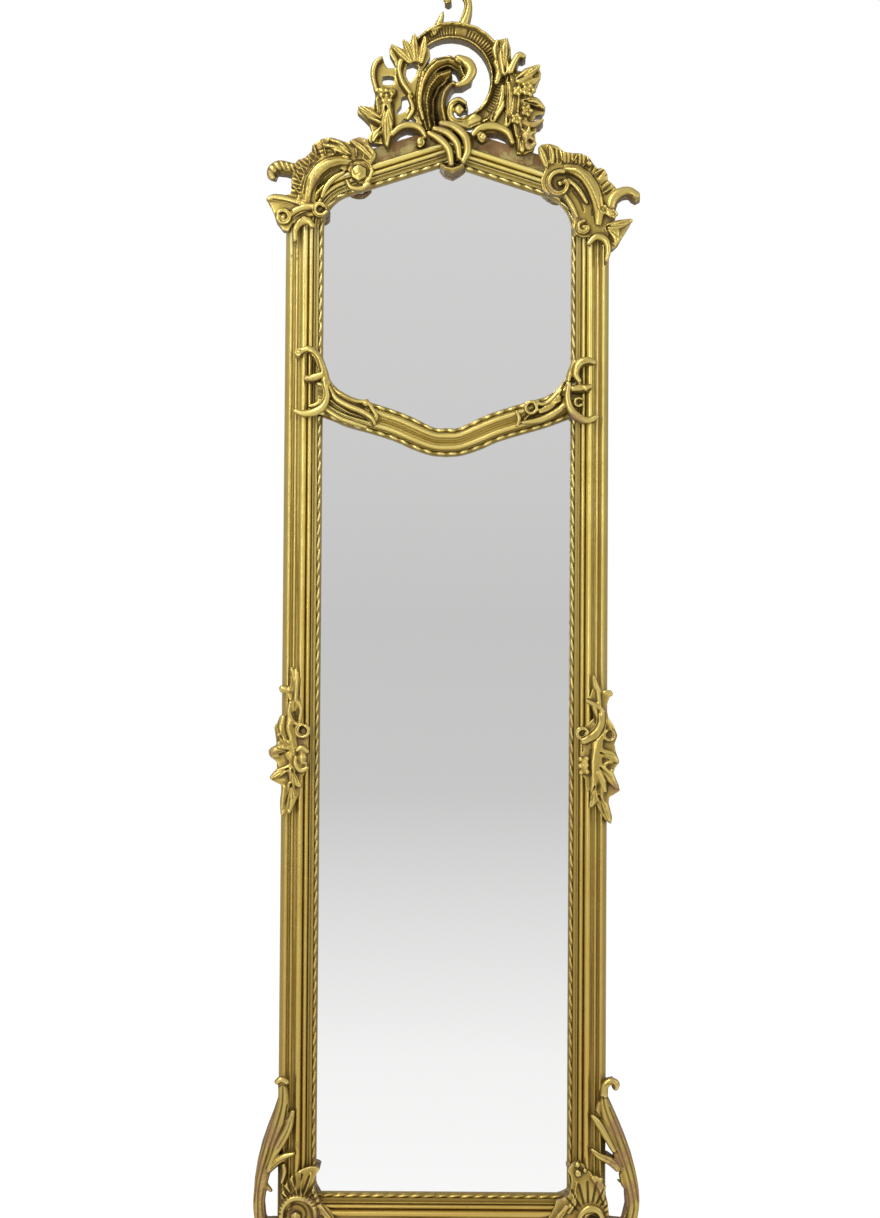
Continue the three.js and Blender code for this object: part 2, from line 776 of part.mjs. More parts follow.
// The ring: a C-scroll with a barred cove between two rims, which ends in a volute.
const ringCentre = [5, 127];
const ringRadius = [71, 75, 75, 73, 72, 72, 66];
const [ringFrom, ringTo] = [140, -84];
const ringStrokes = [
  scroll(ringCentre, ringRadius, ringFrom, ringTo, [18, 26, 28, 29, 28, 24, 12], 42, {
    ...back,
    section: coved,
    steps: 18,
  }),
  scroll([17, 81], [19, 16, 13, 10], -80, -375, [11, 10, 8, 6], [38, 40, 42, 42], { ...back, steps: 11 }),
  bead([18, 82], 6.5, 44, back),
  leaf([-24, 196], [-14, 214], [-8, 233], 15, 38, back),
];

// The left spray: a leaf cluster, a thin bracket and a flower over a drop leaf, sawn from one panel.
const leftSprayStrokes = [
  panel(
    [
      [-38, 193], [-52, 192], [-61, 184], [-66, 173], [-76, 172], [-87, 179], [-91, 170], [-84, 156], [-79, 145],
      [-92, 144], [-97, 151], [-100, 160], [-111, 153], [-116, 138], [-113, 116], [-110, 98], [-112, 85],
      [-124, 86], [-134, 85], [-138, 77], [-128, 68], [-118, 57], [-116, 44], [-124, 34], [-112, 27],
      [-100, 32], [-93, 15], [-85, 31], [-76, 45], [-62, 54], [-44, 54], [-34, 64], [-42, 84], [-45, 108],
      [-42, 130], [-36, 146], [-28, 160], [-30, 178],
    ],
    34,
    42,
    {
      ...back,
      holes: [
        [[-64, 148], [-54, 151], [-46, 147], [-50, 132], [-59, 122], [-65, 134]],
        [[-100, 119], [-91, 118], [-83, 120], [-82, 131], [-91, 132], [-100, 131]],
        [[-70, 100], [-62, 102], [-57, 90], [-64, 78], [-77, 73], [-78, 79], [-71, 88]],
        [[-74, 56], [-66, 67], [-57, 71], [-49, 66], [-49, 58], [-60, 59]],
      ],
    },
  ),
  leaf([-58, 152], [-74, 157], [-86, 175], 14, 46, { foot: 32 }),
  leaf([-52, 152], [-62, 166], [-66, 178], 13, 47, { foot: 32 }),
  leaf([-46, 152], [-52, 172], [-50, 190], 20, 48, { foot: 32 }),
  strand([[-70, 148], [-75, 134], [-68, 114], [-54, 98]], [7, 8, 8, 8], 42, { foot: 32, steps: 4 }),
  strand([[-100, 155], [-109, 150], [-113, 134], [-109, 108]], [6, 8, 8, 8], 42, { foot: 32, steps: 4 }),
  strand([[-96, 112], [-98, 96], [-95, 74], [-92, 48], [-93, 20]], [22, 30, 28, 20, 5], [44, 50, 50, 48, 40], {
    foot: 32,
    section: veined,
  }),
  bead([-100, 106], 9, 50, { foot: 32 }),
  bead([-86, 104], 9, 52, { foot: 32 }),
  bead([-93, 92], 9, 55, { foot: 32 }),
  leaf([-104, 58], [-118, 68], [-134, 81], 20, 46, { foot: 32 }),
  strand(
    [[-84, 38], [-72, 50], [-58, 53], [-42, 47], [-34, 34]],
    [8, 10, 11, 11, 9],
    [42, 48, 50, 48, 44],
    back,
  ),
  bead([-42, 29], 9.5, 50, back),
];

// The right spray: broad leaves and a mass of flowers, with two hooked tips.
const rightSprayStrokes = [
  panel(
    [
      [62, 187], [74, 187], [86, 190], [93, 180], [94, 164], [98, 146], [108, 140], [120, 140], [132, 149],
      [140, 140], [136, 124], [127, 108], [132, 93], [145, 87], [146, 76], [132, 73], [128, 64], [134, 53],
      [130, 40], [133, 24], [118, 14], [104, 13], [99, 32], [90, 44], [68, 50], [40, 48], [44, 60], [62, 80],
      [72, 104], [74, 132], [68, 156], [58, 174],
    ],
    36,
    38,
    back,
  ),
  leaf([84, 130], [84, 162], [86, 186], 20, 48, { foot: 34 }),
  strand([[95, 134], [101, 150], [104, 160], [113, 162]], [14, 9, 9, 9], [46, 46, 48, 48], back),
  bead([111, 161], 7, 50, back),
  leaf([104, 124], [118, 134], [135, 145], 24, 52, { foot: 34 }),
  strand([[100, 134], [107, 108], [104, 80], [110, 50], [112, 18]], [20, 28, 28, 26, 18], [46, 52, 52, 52, 46], {
    foot: 34,
    section: veined,
    steps: 6,
  }),
  leaf([114, 92], [130, 92], [144, 80], 16, 48, { foot: 34 }),
  strand([[112, 62], [124, 57], [134, 56], [142, 64]], [12, 10, 9, 7], [46, 46, 46, 42], { ...back, steps: 4 }),
  leaf([110, 44], [120, 38], [132, 26], 14, 52, { foot: 34 }),
  strand([[30, 36], [46, 46], [70, 50], [90, 42], [97, 26]], [8, 12, 13, 12, 8], [42, 48, 50, 50, 44], back),
  bead([51, 37], 9, 50, back),
  bead([121, 108], 7, 54, { foot: 34 }),
  bead([118, 76], 7, 54, { foot: 34 }),
];

const finialStrokes = [
  strand(
    [[21, 214], [27, 226], [30, 244], [24, 261], [9, 268], [-3, 260], [-1, 246]],
    [18, 14, 12, 12, 11, 10, 8],
    [38, 40, 40, 40, 38, 36, 36],
    { ...back, steps: 9 },
  ),
  bead([-1, 247], 6.5, 40, back),
];

// Each later piece of the crest leaves room for those before it.
const crestRooms = [...seats[-1], ...seats[1], boardSeat];
const crestPieces = [
  ['crest_clasp', claspStrokes],
  ['crest_plume', plumeStrokes],
  ['crest_ring', ringStrokes],
  ['crest_left_spray', leftSprayStrokes],
  ['crest_right_spray', rightSprayStrokes],
  ['crest_finial', finialStrokes],
];
for (const [name, strokes] of crestPieces) {
  addPiece(name, cutBy(carved(strokes, crestDatum), [...crestRooms, ...strutBores]), gilt, crestPlace);
  crestRooms.push(carved(strokes, crestDatum, joint));
}

// ---- Corner cartouches ----
// From here on a stroke's x is counted outwards from the datum, so both sides read alike.

const panelTop = 46;
const onPanel = { foot: panelTop - 2 };
const rib = { foot: panelTop - 2, section: ridged, steps: 1 };

const leftCartoucheStrokes = [
  panel(
    [
      [-1, 38], [0, 52], [-7, 69], [-21, 82], [-38, 88], [-52, 84], [-58, 68], [-72, 65], [-84, 76], [-85, 92],
      [-78, 106], [-80, 118], [-82, 130], [-70, 136], [-58, 135], [-51, 127], [-42, 130], [-28, 135], [-12, 134],
      [0, 127], [6, 114], [14, 105], [26, 101], [34, 91], [33, 78], [36, 66], [34, 54], [40, 47], [58, 46],
      [70, 43], [71, 36], [63, 28], [61, 14], [52, 0], [41, -10], [36, 0], [24, 12], [8, 17], [-6, 13],
      [-20, 19], [-22, 32], [-10, 38],
    ],
    panelTop,
    44,
  ),
  strand([[13, 34], [11, 56], [1, 78], [-15, 93], [-34, 99], [-56, 97]], [14, 21, 24, 23, 18, 10], [
    50, 56, 58, 58, 56, 50,
  ], { ...onPanel, steps: 6 }),
  ...[
    [[24, 50], [34, 62]], [[22, 66], [34, 88]], [[16, 80], [26, 99]], [[8, 92], [10, 108]],
    [[-2, 102], [2, 124]], [[-16, 108], [-10, 132]], [[-30, 110], [-26, 134]], [[-46, 108], [-42, 128]],
    [[-62, 104], [-60, 132]], [[-72, 102], [-76, 130]],
  ].map((line) => strand(line, [5, 9], [52, 48.5], rib)),
  bead([-66, 81], 15, 54, onPanel),
  strand([[-70, 104], [-84, 92], [-84, 76], [-72, 64]], [7, 8, 8, 5], 50, { ...onPanel, steps: 4 }),
  strand([[22, 80], [43, 86], [60, 86], [64, 73]], [16, 14, 15, 10], [46, 44, 42, 38]),
  strand([[14, 34], [40, 40], [69, 41]], [12, 9, 6], [52, 50, 48], { ...onPanel, steps: 3 }),
  scroll([47, 14], [11, 10, 9], 150, 440, [6, 6, 5], 53, { ...onPanel, steps: 6 }),
  bead([47, 14], 4.5, 54, onPanel),
  strand([[0, 28], [18, 25], [34, 16]], [8, 12, 8], [50, 54, 50], { ...onPanel, steps: 3 }),
  scroll([-9, 26], [11, 11, 9], 30, -200, [6, 6, 5], 51, { ...onPanel, steps: 6 }),
  strand([[29, -30], [29, -12], [26, 4], [16, 14], [4, 10]], [6, 9, 11, 12, 9], [44, 50, 54, 54, 50]),
];

const rightCartoucheStrokes = [
  panel(
    [
      [-10, 14], [-17, 34], [-28, 50], [-42, 49], [-56, 56], [-61, 70], [-55, 86], [-52, 98], [-58, 112],
      [-64, 124], [-52, 128], [-38, 126], [-26, 116], [-10, 114], [4, 113], [16, 104], [22, 91], [34, 91],
      [40, 82], [40, 73], [52, 64], [56, 54], [50, 38], [55, 24], [50, 11], [60, 10], [77, 14], [73, 4],
      [65, -8], [58, -22], [48, -32], [40, -22], [24, -12], [10, -14], [-5, -12], [-12, 0],
    ],
    panelTop,
    42,
  ),
  strand([[-27, 92], [-8, 87], [10, 73], [21, 52], [27, 28], [26, 4]], [14, 21, 24, 24, 20, 12], [
    50, 57, 58, 58, 56, 50,
  ], { ...onPanel, steps: 6 }),
  scroll([-32, 66], [19, 17, 14, 10], 60, 400, [7, 8, 7, 5], [50, 54, 54, 54], { ...onPanel, steps: 6 }),
  bead([-31, 67], 6, 53, onPanel),
  strand([[-14, 70], [-1, 55], [9, 36]], [7, 8, 5], [51, 54, 50], { ...onPanel, steps: 3 }),
  strand([[-24, 50], [-14, 36], [-8, 16]], [6, 7, 5], [49, 50, 48], { ...onPanel, steps: 3 }),
  ...[
    [[-50, 90], [-60, 122]], [[-42, 96], [-44, 124]], [[-28, 100], [-28, 116]], [[-12, 100], [-4, 112]],
    [[2, 92], [14, 104]], [[16, 80], [32, 89]], [[24, 68], [38, 80]], [[32, 52], [50, 62]],
  ].map((line) => strand(line, [5, 10], [52, 48.5], rib)),
  strand([[44, 14], [47, 38], [56, 51], [72, 55], [84, 49]], [14, 18, 15, 13, 14], [46, 46, 44, 42, 42], {
    steps: 6,
  }),
  bead([83, 49], 9, 45),
  bead([43, 23], 8, 54, onPanel),
  leaf([36, 3], [54, 4], [75, 12], 12, 51, onPanel),
  strand([[46, 4], [56, -12], [49, -28]], [12, 14, 6], [50, 51, 48], { ...onPanel, steps: 3 }),
  scroll([4, 1], [11, 10, 9], 110, 360, [6, 6, 5], 53, { ...onPanel, steps: 6 }),
  bead([4, 2], 4.5, 54, onPanel),
  strand([[10, -24], [23, -14], [36, -19], [41, -34], [37, -54]], [6, 9, 10, 9, 5], [46, 52, 52, 50, 44], {
    steps: 6,
  }),
];

// ---- Clasps over the ends of the cross rail ----

const leftClaspStrokes = [
  strand([[22, 58], [10, 66], [-2, 57], [-10, 42], [-16, 28], [-24, 12]], [9, 11, 12, 13, 12, 7], [
    50, 54, 54, 52, 48, 42,
  ], { steps: 7 }),
  bead([22, 58], 9, 52),
  strand([[10, 17], [-3, 21], [-16, 23]], [7, 12, 10], [50, 54, 50], { steps: 3 }),
  strand([[-16, 24], [-19, -2], [-14, -20], [0, -30], [16, -31], [29, -27]], [9, 12, 13, 12, 11, 8], [
    48, 52, 54, 54, 52, 48,
  ], { steps: 6 }),
  strand([[-16, 2], [-34, -6], [-54, -19], [-74, -27], [-87, -36], [-92, -48]], [16, 24, 26, 24, 17, 8], [
    48, 50, 50, 48, 46, 42,
  ], { foot: 25, section: veined, steps: 6 }),
  strand([[-27, 10], [-38, 1], [-56, -9], [-76, -14]], [9, 11, 11, 9], [46, 51, 51, 49], { foot: 30 }),
  bead([-79, -15], 6.5, 50, { foot: 30 }),
];

const rightClaspStrokes = [
  strand([[22, 47], [8, 48], [-2, 42], [-5, 30], [-3, 18], [9, 13]], [8, 11, 11, 10, 9, 6], [
    50, 54, 54, 54, 52, 48,
  ], { steps: 6 }),
  strand([[-8, 50], [-14, 32], [-18, 12]], [8, 10, 10], [44, 46, 46], { steps: 4 }),
  strand([[-16, 6], [2, 6], [17, 9]], [12, 12, 7], [50, 54, 50], { steps: 3 }),
  strand(
    [[-17, 12], [-19, -10], [-14, -25], [-2, -36], [12, -40], [24, -38], [27, -30]],
    [9, 11, 12, 12, 11, 10, 7],
    [48, 52, 54, 54, 54, 52, 48],
    { foot: 25, steps: 7 },
  ),
  strand([[-16, -2], [-36, -13], [-56, -21], [-76, -31], [-93, -48]], [16, 22, 23, 22, 5], [48, 50, 50, 48, 40], {
    section: veined,
    steps: 7,
  }),
  scroll([-73, -20], [9, 8, 6], 120, 400, [6, 6, 4], 51, { steps: 7 }),
  leaf([-46, -12], [-38, 0], [-21, 15], 13, 48),
];

// ---- Mounts half way up the stiles ----

const leftMountStrokes = [
  panel(
    [
      [2, 140], [6, 128], [4, 116], [12, 109], [26, 107], [27, 101], [16, 100], [12, 90], [14, 76], [24, 64],
      [33, 52], [33, 38], [28, 26], [37, 17], [39, 7], [31, -2], [26, -10], [31, -20], [40, -28], [28, -34],
      [18, -42], [16, -56], [22, -72], [21, -86], [10, -74], [1, -64], [-6, -46], [-4, -28], [-14, -20],
      [-20, -4], [-19, 14], [-14, 24], [-17, 34], [-20, 44], [-14, 53], [-3, 54], [-6, 68], [-6, 84], [-2, 100],
      [-5, 120],
    ],
    panelTop,
    39,
  ),
  strand([[1, 132], [1, 114], [2, 92], [4, 72]], [7, 9, 9, 8], [48, 51, 52, 50], { ...onPanel, steps: 4 }),
  scroll([-9, 43], [9, 8.5, 7], 100, 400, [5, 5, 4], 53, { ...onPanel, steps: 6 }),
  strand([[12, 68], [12, 46], [6, 28], [4, 8], [8, -18]], [12, 20, 18, 16, 14], [50, 53, 52, 52, 50], onPanel),
  leaf([20, 66], [30, 54], [27, 34], 10, 50, onPanel),
  leaf([14, 14], [26, 18], [35, 8], 12, 51, onPanel),
  leaf([12, -8], [20, -26], [37, -28], 13, 51, onPanel),
  strand([[-7, 20], [-9, 2], [-6, -14]], [10, 17, 10], [52, 57, 52], { ...onPanel, steps: 4 }),
  leaf([6, -24], [6, -56], [19, -80], 16, 52, onPanel),
];

const rightMountStrokes = [
  panel(
    [
      [3, 131], [9, 118], [14, 106], [28, 109], [27, 98], [22, 88], [22, 72], [28, 60], [36, 48], [38, 34],
      [32, 22], [38, 10], [41, -2], [33, -11], [28, -16], [34, -27], [43, -41], [36, -47], [28, -50], [24, -60],
      [28, -74], [32, -87], [26, -95], [17, -80], [8, -66], [3, -52], [4, -38], [-10, -44], [-10, -26],
      [-19, -14], [-20, 2], [-14, 14], [-11, 26], [-22, 34], [-24, 46], [-14, 53], [-2, 58], [4, 72], [-3, 84],
      [-12, 93], [-2, 99], [1, 114],
    ],
    panelTop,
    39,
  ),
  strand([[4, 124], [8, 110], [10, 92], [12, 72]], [6, 9, 9, 8], [48, 51, 52, 50], { ...onPanel, steps: 4 }),
  scroll([-14, 42], [9, 8.5, 7], 60, -240, [5, 5, 4], 53, { ...onPanel, steps: 6 }),
  strand([[12, 66], [10, 46], [8, 28], [8, 8], [10, -16]], [12, 20, 22, 18, 16], [50, 53, 52, 52, 50], onPanel),
  leaf([22, 62], [32, 50], [32, 26], 11, 50, onPanel),
  leaf([18, 14], [30, 12], [38, -2], 13, 51, onPanel),
  leaf([14, -6], [24, -26], [41, -40], 16, 51, onPanel),
  strand([[-8, 8], [-11, -6], [-8, -18]], [9, 14, 9], [52, 56, 52], { ...onPanel, steps: 3 }),
  leaf([12, -22], [12, -60], [27, -90], 17, 52, onPanel),
];

// ---- Ears and shells at the foot ----

const earBack = { foot: 12 };

const leftEarStrokes = [
  strand(
    [[-11, 228], [-15, 205], [-14, 182], [-6, 155], [6, 128], [16, 100], [21, 72], [22, 45], [19, 20], [13, -4]],
    [8, 17, 28, 30, 25, 19, 17, 17, 17, 18],
    [44, 48, 50, 50, 48, 44, 42, 42, 42, 42],
    { ...earBack, section: veined, steps: 9 },
  ),
  strand([[20, 10], [6, 8], [-12, 8]], [18, 24, 22], [40, 38, 42], { ...earBack, steps: 3 }),
  leaf([12, 84], [-8, 106], [-33, 122], 15, 50, earBack),
  leaf([-12, 160], [-22, 168], [-30, 182], 14, 52, earBack),
  leaf([20, 74], [12, 68], [6, 58], 9, 36, earBack),
];

const rightEarStrokes = [
  strand([[-14, 196], [-12, 214], [-1, 225], [8, 222], [7, 213]], [12, 11, 10, 10, 8], [48, 48, 46, 44, 42], {
    ...earBack,
    steps: 7,
  }),
  strand(
    [[-10, 204], [-5, 182], [3, 156], [14, 131], [22, 110], [29, 84], [34, 56], [33, 34], [27, 12], [22, -4]],
    [12, 22, 28, 27, 25, 24, 22, 22, 23, 24],
    [46, 50, 50, 48, 46, 44, 42, 42, 42, 42],
    { ...earBack, section: veined, steps: 9 },
  ),
  strand([[26, 8], [8, 10], [-12, 10]], [22, 26, 26], [40, 38, 42], { ...earBack, steps: 3 }),
  leaf([0, 148], [-14, 164], [-29, 178], 15, 52, earBack),
  leaf([18, 98], [-6, 112], [-30, 127], 17, 50, earBack),
  leaf([30, 66], [22, 72], [12, 77], 9, 36, earBack),
];

// Lobes fanned about a centre, each running out to its own reach at its own angle.
function fan(centre, lobes, inner, width, rise, form) {
  return lobes.map(([angle, reach]) => {
    const turn = THREE.MathUtils.degToRad(angle);
    const at = (radius) => [centre[0] + radius * Math.cos(turn), centre[1] + radius * Math.sin(turn)];
    return strand([at(inner), at(reach)], [0.5 * width, width], [rise, rise - 4], form);
  });
}

const leftShellStrokes = [
  panel(
    [
      [39, -56], [41, -30], [39, -10], [35, 12], [27, 30], [15, 41], [2, 47], [-10, 50], [-20, 46], [-12, 34],
      [-11, 20], [-17, 4], [-23, -6], [-34, -12], [-44, -30], [-44, -56],
    ],
    panelTop,
    24,
  ),
  ...fan([8, -6], [[6, 30], [28, 33], [48, 37], [68, 42], [88, 47], [108, 48]], 14, 10, 53, rib),
  strand([[28, -14], [23, 1], [8, 6], [-5, 0], [-13, -18], [-15, -50]], [8, 11, 11, 10, 9, 9], [
    52, 56, 57, 56, 52, 50,
  ], { ...onPanel, steps: 6 }),
  bead([15, -24], 10, 57, onPanel),
  leaf([-22, -8], [-32, -18], [-40, -38], 11, 51, onPanel),
];

const rightShellStrokes = [
  panel(
    [
      [46, -56], [48, -22], [46, 0], [41, 16], [33, 30], [20, 44], [8, 57], [-2, 60], [-8, 54], [-14, 46],
      [-8, 36], [-9, 20], [-14, 6], [-30, 2], [-34, -12], [-44, -26], [-48, -56],
    ],
    panelTop,
    26,
  ),
  bead([1, 55], 5, 54, onPanel),
  bead([2, 42], 6, 54, onPanel),
  strand([[22, 38], [32, 26], [38, 12], [42, -4]], [8, 9, 9, 7], [50, 53, 52, 48], { ...onPanel, steps: 4 }),
  strand([[7, -36], [13, -18], [25, -11], [37, -18], [40, -36]], [8, 11, 12, 11, 8], [52, 56, 57, 56, 50], {
    ...onPanel,
    steps: 7,
  }),
  bead([24, -28], 8, 56, onPanel),
  leaf([-14, -8], [-28, -16], [-42, -38], 13, 51, onPanel),
  leaf([0, 30], [-2, 10], [-8, -12], 12, 51, onPanel),
];

// ---- The ornament over the frame, seated on its mouldings ----

const sides = [
  ['left', -1, leftCartoucheStrokes, leftClaspStrokes, leftMountStrokes, leftShellStrokes, leftEarStrokes],
  ['right', 1, rightCartoucheStrokes, rightClaspStrokes, rightMountStrokes, rightShellStrokes, rightEarStrokes],
];
const claspHeight = (crossEndTop + crossEndBottom) / 2 - claspDown;

for (const [label, side, cartouche, clasp, mount, shell, ear] of sides) {
  const foot = [...seats[side], bottomSeat, floorCut];
  const shellDatum = [side, sightHalfWidth + shellOut, sillHeight - shellDown];
  const shellRoom = carved(shell, shellDatum, joint);
  const cartoucheDatum = [side, sightHalfWidth + cartoucheOut, springHeight - cartoucheDown];
  const laid = [
    ['corner_cartouche', cartouche, cartoucheDatum, crestRooms],
    ['cross_clasp', clasp, [side, sightHalfWidth + claspOut, claspHeight], [...seats[side], crossSeat]],
    ['stile_mount', mount, [side, sightHalfWidth + mountOut, mountHeight], seats[side]],
    ['foot_shell', shell, shellDatum, foot],
    ['ear', ear, [side, outerHalfWidth + earOut, 0], [...foot, shellRoom]],
  ];
  for (const [name, strokes, datum, cutters] of laid) {
    addPiece(`${name}_${label}`, cutBy(carved(strokes, datum), cutters), gilt, [side * datum[1], 0, datum[2]]);
  }
}

// ---- Hangers ----

// The strap lies on the stile's back and ends in a loop round the ring's bar.
const loopInner = ringRodRadius + ringPlay;
const loopOuter = loopInner + strapThickness;
const hingeBehind = joint + loopOuter;
const loopEnd = THREE.MathUtils.degToRad(-110);

function strap(side) {
  const outline = new THREE.Shape();
  outline.moveTo(joint, -strapLength);
  outline.lineTo(joint, 0);
  outline.absarc(hingeBehind, 0, loopOuter, Math.PI, loopEnd, true);
  outline.absarc(hingeBehind, 0, loopInner, loopEnd, Math.PI, false);
  outline.lineTo(joint + strapThickness, -strapLength);
  const geometry = new THREE.ExtrudeGeometry(outline, {
    depth: strapWidth,
    bevelEnabled: false,
    curveSegments: loopSegments,
  });
  const turn = new THREE.Matrix4().makeBasis(
    new THREE.Vector3(0, 1, 0),
    new THREE.Vector3(0, 0, 1),
    new THREE.Vector3(1, 0, 0),
  );
  geometry.applyMatrix4(turn);
  geometry.translate(side * (outerHalfWidth - hangerInset) - strapWidth / 2, 0, hangerHeight);
  return cutBy(solidOf(geometry), strapBores(side));
}

// A closed ring of round rod through points [x, z], mitred at each of them.
function rodRing(points, radius, sides, [x, y, z]) {
  const count = points.length;
  const positions = [];
  const index = [];
  points.forEach((point, spot) => {
    const before = points[(spot + count - 1) % count].clone().sub(point).normalize();
    const after = points[(spot + 1) % count].clone().sub(point).normalize();
    const lead = after.clone().sub(before).normalize();
    const out = new THREE.Vector2(lead.y, -lead.x);
    const stretch = radius / Math.abs(out.x * after.y - out.y * after.x);
    for (let side = 0; side < sides; side += 1) {
      const turn = (2 * Math.PI * side) / sides;
      const reach = stretch * Math.cos(turn);
      positions.push(x + point.x + out.x * reach, y + radius * Math.sin(turn), z + point.y + out.y * reach);
      const near = spot * sides + side;
      const next = spot * sides + ((side + 1) % sides);
      const step = ((spot + 1) % count) * sides - spot * sides;
      index.push(near, next, next + step, near, next + step, near + step);
    }
  });
  const geometry = new THREE.BufferGeometry();
  geometry.setAttribute('position', new THREE.BufferAttribute(Float32Array.from(positions), 3));
  geometry.setIndex(index);
  return solidOf(geometry);
}

const bowHalfWidth = ringInnerWidth / 2 + ringRodRadius;
const bow = Array.from({ length: bowSteps + 1 }, (_, step) => {
  const turn = (Math.PI * step) / bowSteps;
  return new THREE.Vector2(bowHalfWidth * Math.cos(turn), -ringDrop * Math.sin(turn));
});

for (const [label, side] of [['left', -1], ['right', 1]]) {
  const hinge = [side * (outerHalfWidth - hangerInset), hingeBehind, hangerHeight];
  addPiece(`strap_hanger_${label}`, strap(side), steel, hinge);
  addPiece(`hanger_ring_${label}`, rodRing(bow, ringRodRadius, rodSides, hinge), steel, hinge);
  strapScrewPlaces(side).forEach((at, index) => {
    const fastener = screw(at, strapScrewSeat, hangerScrewLength);
    addPiece(`hanger_screw_${label}_${index + 1}`, fastener, steel, [at[0], 0, at[1]]);
  });
}

// The whole stands on the centre of the bottom rail's back face.
pieces.name = 'pieces';
pieces.position.z = -mouldingWidth / 2;
const mirror = new THREE.Group();
mirror.name = 'pier_mirror';
mirror.add(pieces);

export default mirror;
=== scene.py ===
import json
import math

import bpy
import numpy as np
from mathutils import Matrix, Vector

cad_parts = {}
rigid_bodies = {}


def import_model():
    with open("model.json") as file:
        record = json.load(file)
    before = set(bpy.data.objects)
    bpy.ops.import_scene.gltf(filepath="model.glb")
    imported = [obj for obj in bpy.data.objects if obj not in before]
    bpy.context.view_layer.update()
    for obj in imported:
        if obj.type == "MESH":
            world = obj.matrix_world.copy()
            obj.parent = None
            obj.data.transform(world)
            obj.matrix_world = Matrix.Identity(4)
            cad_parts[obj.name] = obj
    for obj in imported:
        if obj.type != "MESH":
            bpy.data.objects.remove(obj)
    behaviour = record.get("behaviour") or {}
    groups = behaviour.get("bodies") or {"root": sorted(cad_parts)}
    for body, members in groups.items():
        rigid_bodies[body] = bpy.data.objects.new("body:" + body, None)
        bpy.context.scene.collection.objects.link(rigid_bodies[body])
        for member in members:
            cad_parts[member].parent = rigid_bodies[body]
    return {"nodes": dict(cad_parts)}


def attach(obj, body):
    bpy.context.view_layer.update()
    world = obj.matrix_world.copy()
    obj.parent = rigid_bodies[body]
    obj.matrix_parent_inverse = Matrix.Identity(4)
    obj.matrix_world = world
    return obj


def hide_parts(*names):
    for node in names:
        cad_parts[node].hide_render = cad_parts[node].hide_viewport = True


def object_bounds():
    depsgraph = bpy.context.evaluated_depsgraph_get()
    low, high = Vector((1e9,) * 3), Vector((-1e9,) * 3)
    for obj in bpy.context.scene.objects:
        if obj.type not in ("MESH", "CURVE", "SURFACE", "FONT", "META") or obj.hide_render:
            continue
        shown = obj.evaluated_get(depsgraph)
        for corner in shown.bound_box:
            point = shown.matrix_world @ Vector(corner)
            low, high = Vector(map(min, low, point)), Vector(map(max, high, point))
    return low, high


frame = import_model()
cad_low, cad_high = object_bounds()

# ---- Camera ----
# The photographer stood square to the mirror with the camera below its middle, tilted up a little.
# The picture ends in the finial above and in the bottom rail below.

view_centre = Vector((-0.007, -0.03, 0.8985))
view_distance = 3.42
half_view = 0.9135
tilt_up = math.radians(2.0)
roll = math.radians(0.37)
bpy.ops.object.select_all(action="DESELECT")
bpy.ops.object.camera_add(
    location=view_centre + view_distance * Vector((0, -math.cos(tilt_up), -math.sin(tilt_up))),
    rotation=(math.pi / 2 + tilt_up, -roll, 0),
)
camera = bpy.context.object
camera.data.sensor_fit = "VERTICAL"
camera.data.angle_y = 2 * math.atan(half_view / view_distance)
bpy.context.scene.camera = camera
bpy.context.scene.view_settings.view_transform = "Standard"

# ---- Studio ----
# A pale floor under the mirror, a white ground behind it, and soft lamps above, beside and in front.
# What the camera sees is white. What the plates reflect is a grey room over a white floor.


def feed(tree, entry, value):
    """Links a socket to the entry, or sets a plain value there."""
    value = getattr(value, "socket", value)
    if isinstance(value, bpy.types.NodeSocket):
        tree.links.new(value, entry)
    else:
        entry.default_value = value


def add_node(tree, kind, settings=(), sockets=()):
    node = tree.nodes.new(kind)
    for name, value in dict(settings).items():
        setattr(node, name, value)
    for name, value in dict(sockets).items():
        feed(tree, node.inputs[name], value)
    return node


def either(tree, share, first, second):
    return add_node(tree, "ShaderNodeMixShader", sockets={0: share, 1: first, 2: second}).outputs[0]


def backdrop(tree, colour, strength):
    return add_node(tree, "ShaderNodeBackground", sockets={"Color": colour, "Strength": strength}).outputs[0]


pure_white = (1, 1, 1, 1)
floor_size = 14
floor_gap = 0.002
bpy.ops.mesh.primitive_plane_add(size=floor_size, location=(0, 0, cad_low[2] - floor_gap))
floor = bpy.context.object
floor.name = "studio_floor"
floor_paint = bpy.data.materials.new("floor_paint")
floor_paint.use_nodes = True
tree = floor_paint.node_tree
tree.nodes.clear()
rays = add_node(tree, "ShaderNodeLightPath").outputs
matt = add_node(tree, "ShaderNodeBsdfDiffuse", sockets={"Color": (0.82, 0.82, 0.82, 1)}).outputs[0]
glow = add_node(tree, "ShaderNodeEmission", sockets={"Color": pure_white, "Strength": 1.08}).outputs[0]
clear = add_node(tree, "ShaderNodeBsdfTransparent").outputs[0]
seen = either(tree, rays["Is Camera Ray"], matt, either(tree, 0.9, matt, glow))
mirrored = either(tree, rays["Is Glossy Ray"], seen, clear)
add_node(tree, "ShaderNodeOutputMaterial", sockets={"Surface": mirrored})
floor.data.materials.append(floor_paint)

world = bpy.data.worlds.new("studio")
bpy.context.scene.world = world
world.use_nodes = True
tree = world.node_tree
tree.nodes.clear()
rays = add_node(tree, "ShaderNodeLightPath").outputs
way = add_node(tree, "ShaderNodeTexCoord").outputs["Generated"]
steepness = add_node(tree, "ShaderNodeSeparateXYZ", sockets={0: way}).outputs["Z"]
lowest, highest = -0.3, 0.6
limits = {0: steepness, 1: lowest, 2: highest, 3: 0.0, 4: 1.0}
lift = add_node(tree, "ShaderNodeMapRange", sockets=limits).outputs[0]
room = add_node(tree, "ShaderNodeValToRGB", sockets={0: lift})
